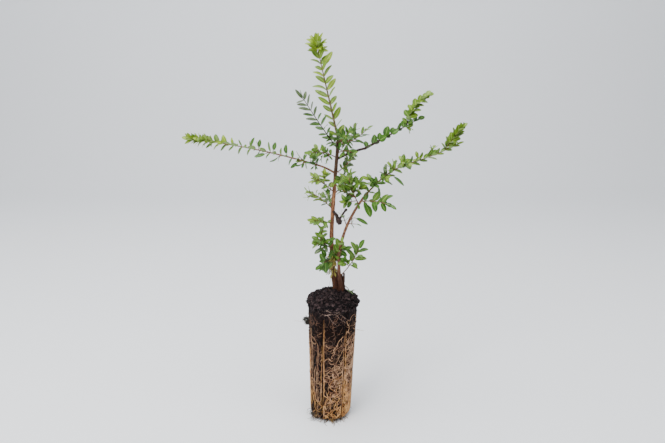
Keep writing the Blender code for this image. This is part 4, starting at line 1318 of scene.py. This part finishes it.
@dataclass(frozen=True)
class BallShape:
    """The root ball's outer shape, as its ribbed cell moulded it."""

    top_radius: float = 25.0
    low_radius: float = 21.2
    foot_radius: float = 13.0
    low_height: float = 9.0
    rim_height: float = 129.0
    crown_height: float = 134.7
    crown_radius: float = 15.5
    lean: float = 1.2
    ribs: int = 6
    first_rib: float = -84.0
    rib_radius: float = 2.2
    rib_depth: float = 1.7

    def profile(self) -> np.ndarray:
        """The outline from the top's middle to the underside's middle, as radius and height."""
        rim = self.rim_height
        rows = [(0.0, self.crown_height), (self.crown_radius, self.crown_height)]
        rows += [(20.5, rim + 3.6), (23.8, rim + 1.6), (self.top_radius, rim)]
        rows += [(self.low_radius, self.low_height)]
        for turn in (25.0, 50.0, 75.0):
            out, down = math.cos(math.radians(turn)), math.sin(math.radians(turn))
            radius = self.foot_radius + (self.low_radius - self.foot_radius) * out
            rows.append((radius, self.low_height * (1.0 - down)))
        return np.array(rows + [(self.foot_radius, 0.0), (0.0, 0.0)])

    def radius(self, height: float) -> float:
        """The wall's radius at a height, with its rounded foot and shoulder."""
        rows = self.profile()[1:-1][::-1]
        return float(np.interp(height, rows[:, 1], rows[:, 0]))

    def slant(self, height: float) -> float:
        """How far to the right the leaning ball's middle is at a height."""
        return math.tan(math.radians(self.lean)) * height

    def to_rib(self, turn: float, radius: float) -> float:
        """How far round the wall a place is from its nearest groove's middle, in millimetres."""
        step = 360.0 / self.ribs
        off = (turn - self.first_rib + 0.5 * step) % step - 0.5 * step
        return math.radians(off) * radius

    def groove(self, turn: float, radius: float, height: float) -> float:
        """The depth of the grooves at a place on the wall."""
        off = self.to_rib(turn, radius)
        if abs(off) >= self.rib_radius or not self.low_height - 4.0 < height < self.rim_height + 1.0:
            return 0.0
        depth = math.sqrt(self.rib_radius**2 - off**2) - (self.rib_radius - self.rib_depth)
        return max(0.0, depth)

    def place(self, turn: float, height: float, out: float = 0.0) -> Triple:
        """A point on the wall.

        Args:
            turn: degrees round from the front, towards +X.
            height: above the underside.
            out: how far off the wall.

        Returns:
            The point.
        """
        radius = self.radius(height)
        right, back = around(turn, radius + (out - self.groove(turn, radius, height)))
        return (right + self.slant(height), back, height)


def dented(ball: np.ndarray, place: Triple, size: float, dents: float, rng: random.Random) -> np.ndarray:
    """Makes one crumb out of a round ball.

    Args:
        ball: the ball's points.
        place: the crumb's middle.
        size: its radius.
        dents: how deep its dents are for its radius.
        rng: the random numbers that stretch it.

    Returns:
        The crumb's points.
    """
    stretch = np.array([rng.uniform(0.6, 1.3) for _ in range(3)])
    jitter = np.array([1.0 + dents * noise.noise(Vector(p) * 1.7 + Vector(place)) for p in ball])
    return np.array(place) + size * ball * jitter[:, None] * stretch


@dataclass(frozen=True)
class RootBall:
    """The root ball: its compost, the crumbs on it, and the roots that bind it."""

    shape: BallShape = BallShape()
    round_steps: int = 290
    step: float = 0.62
    crumb_relief: float = 0.42
    mound_relief: float = 2.5
    grain: float = 0.9  # width of the relief's finest crumbs
    cell: float = 1.7  # width of its flat-topped crumbs
    clods: tuple[float, float] = (3.6, 1.9)  # widths of the mound's clods
    loose: int = 1500  # crumbs scattered over the mound and the wall
    on_mound: float = 0.62  # the mound's share of them
    rim_crumbs: int = 390
    stem_crumbs: int = 70
    clump: tuple[float, float] = (10.4, 5.6)  # where the stems stand, for the crumbs heaped before them
    net_cell: float = 5.6  # width of the cells that roots wind round
    net_step: float = 0.7
    net_low: float = 1.5
    net_high: float = 124.0
    long_roots: int = 175
    fine_roots: int = 640
    brown_roots: int = 420
    golden_roots: int = 210
    drawn_roots: tuple[int, int] = (26, 14)  # golden at the left edge, and tan beside it
    thread_count: int = 15
    rootlet_count: int = 105
    bare_middle: float = 6.0  # where the bare front face is, in degrees round from the front
    bare_reach: float = 30.0
    filaments: tuple[tuple[Triple, Triple, Triple, float, int], ...] = (
        ((27, -2, 97.5), (31.5, -4, 97), (35, -5, 97.5), 0.22, 1),
        ((-24, -3, 106), (-30, -5, 107.5), (-36.5, -6, 109), 0.13, 1),
        ((2, 3, 153), (-1.6, 1.5, 147.5), (-1.2, 0.5, 135.5), 0.16, 0),
        ((15.4, 1.5, 143.6), (18.6, 0, 142), (20.4, -1.6, 137.6), 0.5, 0),
        ((-5, -19, 2), (-7, -24, 0.4), (-3, -26.5, 0.5), 0.3, 0),
        ((2, -20, 1.6), (6.5, -25, 0.5), (3, -27.5, 0.5), 0.26, 0),
        ((-14, -15, 3), (-19, -19.5, 0.6), (-21.5, -16, 0.6), 0.28, 0),
    )  # start, middle, end, radius and skin of each root that stands off the ball
    tufts: tuple[tuple[float, float, float, float, int], ...] = (
        (-86, 108.5, 4, 3.5, 100), (-78, 107, 1.4, 3.2, 70), (-60, 5, 0.9, 2.4, 40),
        (-48, 2.5, 0.6, 2, 30), (8, 1.4, 0.8, 1.7, 30), (34, 2.4, 0.8, 1.9, 34),
    )  # turn, height, distance off the wall, size and hairs of each moss tuft

    def build(self) -> None:
        """Builds the compost core, crumbs, root nets, threads, rootlets and moss."""
        self.core()
        self.crumbs()
        self.roots()
        self.threads()
        self.rootlets()
        self.moss()

    def core(self) -> None:
        """Builds the body of compost, with its grooves and its crumbly relief."""
        shape = self.shape
        rows = shape.profile()
        lengths = np.concatenate([[0.0], np.cumsum(np.linalg.norm(np.diff(rows, axis=0), axis=1))])
        stations = np.linspace(0.0, lengths[-1], round(lengths[-1] / self.step))[1:-1]
        radii = np.interp(stations, lengths, rows[:, 0])
        heights = np.interp(stations, lengths, rows[:, 1])
        slope = np.stack([np.gradient(heights), -np.gradient(radii)], axis=1)
        slope = -slope / np.linalg.norm(slope, axis=1)[:, None]
        turns = np.linspace(0.0, 360.0, self.round_steps, endpoint=False)
        points = []
        for radius, height, (out, up) in zip(radii, heights, slope):
            fade = min(1.0, height / 3.0)
            mound = min(1.0, max(0.0, (height - 124.0) / 5.0)) * min(1.0, radius / 6.0 + 0.3)
            for turn in turns:
                way = Vector((*around(turn), 0.0))
                place = radius * way + height * UP
                fine = noise.noise(place / self.grain) + 0.6 * noise.noise(place / (0.5 * self.grain))
                cells = noise.cell_vector(place / self.cell).x - 0.5
                bulk = noise.noise(place / self.clods[0]) + 0.5 * noise.noise(place / self.clods[1])
                rise = fade * (self.crumb_relief * (fine + 0.5 * cells) - 0.25)
                rise += mound * self.mound_relief * bulk
                if height > 1.0:
                    rise -= shape.groove(turn, radius, height)
                wide = radius + rise * out
                high = max(0.0, height + rise * up) if height > 1.0 else height
                points.append((wide * way.x + shape.slant(height), wide * way.y, high))
        points += [(shape.slant(shape.crown_height), 0.0, shape.crown_height), (0.0, 0.0, 0.0)]
        quads, fans = skin_faces(len(stations), self.round_steps)
        pile = Pile()
        pile.add(np.array(points), [quads[:, [1, 0, 3, 2]], fans[:, [0, 2, 1]]])
        pile.make("compost_core", BALL, [Compost()], (BALL,))

    def crumbs(self) -> None:
        """Scatters loose crumbs over the mound, thinner down the bare band and the wall."""
        shape, rng, pile = self.shape, random.Random("crumbs"), Pile()
        bead = bmesh.new()
        bmesh.ops.create_icosphere(bead, subdivisions=2, radius=1.0)
        ball = np.array([tuple(v.co) for v in bead.verts])
        faces = np.array([[v.index for v in face.verts] for face in bead.faces])
        bead.free()
        shoulder = shape.profile()[1:5]
        for _ in range(self.loose):
            turn = rng.uniform(0.0, 360.0)
            if rng.random() < self.on_mound:
                reach = shape.top_radius * math.sqrt(rng.random()) * 0.985
                height = float(np.interp(reach, shoulder[:, 0], shoulder[:, 1]))
                right, back = around(turn, reach)
                place = (right + shape.slant(height), back, height + rng.uniform(-0.2, 1.7))
                size = rng.uniform(0.5, 1.2) if rng.random() < 0.65 else rng.uniform(1.2, 2.1)
            else:
                place = shape.place(turn, rng.triangular(70.0, 131.0, 126.0))
                size = rng.uniform(0.35, 0.8)
            pile.add(dented(ball, place, size, 0.22, rng), [faces])
        for _ in range(self.rim_crumbs):
            turn, height = rng.uniform(0.0, 360.0), rng.triangular(125.5, 134.6, 131.0)
            place = shape.place(turn, height, rng.uniform(0.0, 1.8))
            pile.add(dented(ball, place, rng.uniform(0.7, 2.0), 0.3, rng), [faces])
        for _ in range(self.stem_crumbs):
            angle, reach = rng.uniform(-1.9, 1.9), rng.uniform(4.2, 8.6)
            height = rng.uniform(0.0, 1.0) * (9.4 - reach) + 134.6
            x, y = self.clump
            place = (x + reach * math.sin(angle), y - reach * math.cos(angle), height)
            pile.add(dented(ball, place, rng.uniform(1.0, 1.9), 0.3, rng), [faces])
        skin = Compost("loose compost crumbs", "070506", "1c1416", "544443", 1.6)
        pile.make("compost_crumbs", BALL, [skin], sharp=25.0)

    def top_edge(self, turn: float) -> float:
        """How high the root net climbs: low on the bare front face, near the rim elsewhere."""
        off = abs((turn + 180.0) % 360.0 - 180.0 - self.bare_middle)
        return 125.0 - 28.0 * max(0.0, 1.0 - off / self.bare_reach) ** 0.5

    def spot(self, rng: random.Random, usual: float) -> tuple[float, float]:
        """Picks where a root starts: more of them on the right than on the left, and low down."""
        turn = rng.uniform(0.0, 360.0)
        while rng.random() > 0.56 + 0.44 * math.sin(math.radians(turn)):
            turn = rng.uniform(0.0, 360.0)
        return turn, rng.triangular(5.0, self.net_high, usual)

    def walk(
        self, rng: random.Random, turn: float, height: float, length: float, loops: float
    ) -> list[tuple[float, float]]:
        """Follows one root over the wall.

        Args:
            rng: the net's random numbers.
            turn: where it starts, in degrees round from the front.
            height: where it starts, above the underside.
            length: how far it runs.
            loops: how strongly it winds round cells in the compost, from 0 to 1.

        Returns:
            Its places as turn and height.
        """
        own = Vector([rng.gauss(0.0, 0.3) for _ in range(3)])
        heading = -0.5 * math.pi + rng.gauss(0.0, 0.9)
        path = [(turn, height)]
        for _ in range(round(length / self.net_step)):
            radius = self.shape.radius(height)
            angle = math.radians(turn)
            spot = Vector((*around(turn, radius), 0.8 * height)) / self.net_cell + own
            side = Vector((math.cos(angle), math.sin(angle), 0.0)) * 0.15
            east = noise.noise(spot + side) - noise.noise(spot - side)
            north = noise.noise(spot + 0.15 * UP) - noise.noise(spot - 0.15 * UP)
            wish = math.atan2(-east, north)
            if math.cos(wish - heading) < 0.0:
                wish += math.pi
            pull = math.atan2(math.sin(wish - heading), math.cos(wish - heading))
            down = math.atan2(math.sin(-0.5 * math.pi - heading), math.cos(-0.5 * math.pi - heading))
            heading += loops * 0.55 * pull + (1.0 - loops) * 0.10 * down + rng.gauss(0.0, 0.15)
            turn += math.degrees(self.net_step * math.cos(heading) / radius)
            height += self.net_step * math.sin(heading)
            off, edge = self.shape.to_rib(turn, radius), 0.8
            if abs(off) < edge:
                turn += math.degrees((math.copysign(edge, off) - off) / radius)
                heading = -0.5 * math.pi + rng.gauss(0.0, 0.12)
            if not self.net_low < height < self.net_high:
                break
            path.append((turn, height))
        return path

    def lay(
        self, pile: Pile, path: list[tuple[float, float]], radius: float, lift: float,
        rng: random.Random, sides: int = 5, slot: int = 0,
    ) -> None:
        """Lays one root's tube on the wall.

        Args:
            pile: where its mesh is put.
            path: its places as turn and height.
            radius: its thickness, halved.
            lift: how far its middle stands off the wall.
            rng: the net's random numbers.
            sides: the corners of each ring.
            slot: the pile's material slot.
        """
        if len(path) < 4:
            return
        phase = rng.uniform(0.0, 6.28)
        points = [
            self.shape.place(turn, height, lift + 0.35 * radius * math.sin(0.45 * i + phase))
            for i, (turn, height) in enumerate(path)
        ]
        shares = np.linspace(0.0, 1.0, len(points))
        radii = radius * np.interp(shares, [0.0, 0.08, 0.6, 1.0], [0.45, 1.0, 0.85, 0.3])
        pile.add(*tube(np.array(points), radii, sides), slot)

    def roots(self) -> None:
        """Lays the tan net over the whole wall and the golden mat over its lower right."""
        rng = random.Random("roots")
        tan, golden = Pile(), Pile()
        for _ in range(self.long_roots):
            turn, height = self.spot(rng, 74.0)
            if height < self.top_edge(turn):
                path = self.walk(rng, turn, height, rng.uniform(14.0, 44.0), 0.75)
                self.lay(tan, path, rng.uniform(0.16, 0.3), 0.15, rng)
        for _ in range(self.fine_roots):  # thick on the lower wall
            turn, height = self.spot(rng, 30.0)
            if height < self.top_edge(turn):
                path = self.walk(rng, turn, height, rng.uniform(4.0, 17.0), rng.uniform(0.5, 0.95))
                self.lay(tan, path, rng.uniform(0.09, 0.18), 0.1, rng, 4)
        for _ in range(self.brown_roots):  # under the others
            turn, height = rng.uniform(0.0, 360.0), rng.uniform(40.0, 122.0)
            path = self.walk(rng, turn, height, rng.uniform(5.0, 20.0), 0.9)
            self.lay(tan, path, rng.uniform(0.12, 0.24), 0.05, rng, 4, 1)
        for k in range(3 * self.shape.ribs):  # straight roots, one left of each groove and two right of it
            rib, lane = divmod(k, 3)
            edge = (self.shape.rib_radius + rng.uniform(-1.3, 0.1)) / 23.0
            middle = self.shape.first_rib + 360.0 * rib / self.shape.ribs
            middle += math.degrees(edge) if lane else -math.degrees(edge)
            high = min(self.top_edge(middle), rng.uniform(70.0, 120.0))
            low = rng.uniform(3.0, 30.0)
            count = max(5, round((high - low) / 1.4))
            sway = rng.uniform(0.0, 6.28)
            path = []
            for i in range(count):
                turn = middle + 1.2 * math.sin(0.13 * i + sway) + rng.gauss(0.0, 0.3)
                path.append((turn, high + (low - high) * i / (count - 1)))
            self.lay(golden, path, rng.uniform(0.16, 0.3), 0.1, rng)
        for _ in range(self.golden_roots):
            turn = rng.gauss(60.0, 26.0) if rng.random() < 0.6 else rng.uniform(0.0, 360.0)
            height = rng.triangular(3.0, 58.0, 6.0)
            path = self.walk(rng, turn, height, rng.uniform(8.0, 28.0), rng.uniform(0.0, 0.5))
            self.lay(golden, path, rng.uniform(0.16, 0.34), 0.25, rng, 4)
        for k in range(sum(self.drawn_roots)):
            far_left = k < self.drawn_roots[0]
            turn = rng.gauss(-74.0, 5.0) if far_left else rng.uniform(-62.0, -26.0)
            high = rng.uniform(20.0, 104.0)
            count, sway = rng.randint(12, 40), rng.uniform(0.0, 6.28)
            path = [
                (turn + 1.1 * math.sin(0.2 * i + sway) + rng.gauss(0.0, 0.15), high - 1.3 * i)
                for i in range(count)
            ]
            path = [place for place in path if place[1] > 2.0]
            self.lay(golden if far_left else tan, path, rng.uniform(0.14, 0.28), 0.2, rng)
        brown = RootSkin("brown root skin", "341f14", "6e4a34")
        tan.make("tan_root_net", BALL, [RootSkin("tan root skin", "7c5136", "c69c76"), brown])
        golden.make("golden_root_mat", BALL, [RootSkin("golden root skin", "9a6330", "cf9c5c")])

    def threads(self) -> None:
        """Lays the pale hair-thin threads over the mound's front and the bare band."""
        rng, pile = random.Random("threads"), Pile()
        for _ in range(self.thread_count):
            turn, height = rng.gauss(4.0, 20.0), rng.choice((124.5, 130.5)) + rng.gauss(0.0, 1.4)
            heading = rng.choice((0.0, math.pi)) + rng.gauss(0.0, 0.25)
            path = []
            for _ in range(rng.randint(12, 34)):
                heading += rng.gauss(0.0, 0.16)
                turn += math.degrees(self.net_step * math.cos(heading) / self.shape.top_radius)
                height = min(132.5, height + self.net_step * math.sin(heading))
                path.append((turn, height))
            self.lay(pile, path, rng.uniform(0.08, 0.14), 0.6, rng, 4)
        pile.make("pale_threads", BALL, [RootSkin("pale fungal thread", "6a5048", "ac9284")])

    def rootlets(self) -> None:
        """Sets the dark rootlets that fringe the foot, the side roots and the dry filament by the stem."""
        rng, pile = random.Random("rootlets"), Pile()
        for _ in range(self.rootlet_count):
            lot = rng.random()
            turn = rng.gauss(-56.0, 13.0) if lot < 0.36 else rng.gauss(14.0, 20.0)
            turn = turn if lot < 0.7 else rng.uniform(-180.0, 180.0)
            height = rng.uniform(0.5, 9.0) if lot < 0.36 else rng.uniform(0.4, 4.0)
            start = Vector(self.shape.place(turn, height, -0.2))
            out = Vector((*around(turn + rng.gauss(0.0, 30.0)), 0.0))
            length = rng.uniform(3.0, 9.0)
            end = start + length * (out * rng.uniform(0.5, 1.0) - UP * rng.uniform(0.2, 1.0))
            end.z = max(0.35, end.z)
            bend = start.lerp(end, 0.5) + Vector([rng.gauss(0.0, 0.24 * length) for _ in range(3)])
            bend.z = max(0.4, bend.z)
            mesh = tube(bent(start, bend, end, 7), np.linspace(0.3, 0.1, 7), 4)
            pile.add(*mesh, rng.choice((0, 0, 1)))
        for *line, radius, slot in self.filaments:
            points = bent(*map(Vector, line), 12)
            pile.add(*tube(points, np.linspace(radius, 0.5 * radius, 12), 5), slot)
        dry = RootSkin("dry rootlet skin", "6e5335", "9a7c50")
        pile.make("foot_rootlets", BALL, [RootSkin("dark rootlet skin", "2a1c14", "54402c"), dry])

    def moss(self) -> None:
        """Sets the small moss tufts on the left side and at the foot."""
        rng, pile = random.Random("moss"), Pile()
        for turn, height, off, size, count in self.tufts:
            middle = Vector(self.shape.place(turn, height, off))
            for _ in range(count):
                way = Vector([rng.gauss(0.0, 1.0) for _ in range(3)]).normalized()
                start = middle + 0.35 * size * way
                end = middle + size * rng.uniform(0.6, 1.35) * way
                start.z, end.z = max(0.5, start.z), max(0.5, end.z)
                line = as_array([start.lerp(end, t) for t in np.linspace(0.0, 1.0, 4)])
                pile.add(*tube(line, np.array([0.28, 0.36, 0.26, 0.1]), 5), rng.choice((0, 0, 1)))
        skins = [RootSkin("dark moss", "131410", "2a2c1c"), RootSkin("brown moss", "1f1712", "433226")]
        pile.make("moss_tufts", BALL, skins)


# ---- the studio


@dataclass(frozen=True)
class Studio:
    """The plain pale floor and backdrop, the soft lights and the camera."""

    camera_place: Triple = (2.47, -566.7, 369.0)
    camera_tilt: float = 74.5
    lens: float = 32.48
    sensor: float = 36.0
    floor_reach: float = 4000.0
    wall_distance: float = 1500.0
    wall_height: float = 3000.0
    bend: float = 500.0
    bend_steps: int = 16
    aim_height: float = 180.0  # of the point that the lights look at
    sky_colour: str = "e6ebf2"
    sky_strength: float = 0.5
    lamps: tuple[tuple[str, Triple, float, float], ...] = (
        ("top_softbox", (-250.0, -250.0, 1500.0), 1300.0, 36.0),
        ("front_left_softbox", (-900.0, -1200.0, 1100.0), 900.0, 20.0),
        ("right_fill", (1100.0, -700.0, 700.0), 1000.0, 5.0),
    )  # name, place, width and watts of each

    def build(self) -> None:
        """Sets up the stage."""
        self.camera()
        self.backdrop()
        self.lights()

    def camera(self) -> None:
        """Places the camera that looks along +Y, a little down on the plant."""
        data = bpy.data.cameras.new("camera")
        data.sensor_width = self.sensor
        data.lens = self.lens
        camera = bpy.data.objects.new("camera", data)
        camera.location = Vector(self.camera_place) * MM
        camera.rotation_euler = (math.radians(self.camera_tilt), 0.0, 0.0)
        bpy.context.scene.collection.objects.link(camera)
        bpy.context.scene.camera = camera

    def backdrop(self) -> None:
        """Builds the floor, which turns up into the wall in one smooth bend."""
        line = [(-self.floor_reach, 0.0)]
        for k in range(self.bend_steps + 1):
            turn = 0.5 * math.pi * k / self.bend_steps
            y = self.wall_distance - self.bend + self.bend * math.sin(turn)
            line.append((y, self.bend * (1.0 - math.cos(turn))))
        line.append((self.wall_distance, self.wall_height))
        points = [(x, y, z) for x in (-self.floor_reach, self.floor_reach) for y, z in line]
        rows = np.arange(len(line) - 1)
        quads = np.stack([rows, rows + len(line), rows + len(line) + 1, rows + 1], axis=-1)
        mesh = bpy.data.meshes.new("backdrop")
        mesh.from_pydata((np.array(points) * MM).tolist(), [], quads.tolist())
        mesh.materials.append(Booth().material())
        mesh.shade_smooth()
        backdrop = bpy.data.objects.new("backdrop", mesh)
        bpy.context.scene.collection.objects.link(backdrop)
        backdrop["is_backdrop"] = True

    def lights(self) -> None:
        """Hangs one large soft light above, one at the front left, and a pale sky round them."""
        for name, place, size, power in self.lamps:
            data = bpy.data.lights.new(name, "AREA")
            data.shape = "SQUARE"
            data.size = size * MM
            data.energy = power
            lamp = bpy.data.objects.new(name, data)
            lamp.location = Vector(place) * MM
            aim = self.aim_height * UP - Vector(place)
            lamp.rotation_euler = aim.to_track_quat("-Z", "Y").to_euler()
            bpy.context.scene.collection.objects.link(lamp)
        world = bpy.data.worlds.new("pale room")
        world.use_nodes = True
        sky = world.node_tree.nodes["Background"]
        sky.inputs["Color"].default_value = linear(self.sky_colour)
        sky.inputs["Strength"].default_value = self.sky_strength
        bpy.context.scene.world = world


def write_sizes() -> None:
    """Works out the solids' box and the dressed plant's box as rows of corners."""
    boxes = {"cad": CAD_BOX, "visual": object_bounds()}
    rows = {name: [list(corner) for corner in box] for name, box in boxes.items()}


def main() -> None:
    """Builds the studio, the root ball and the plant."""
    logging.basicConfig(level=logging.INFO, format="%(name)s: %(message)s")
    Studio().build()
    RootBall().build()
    Plant().build()
    write_sizes()


if __name__ == "__main__":
    main()
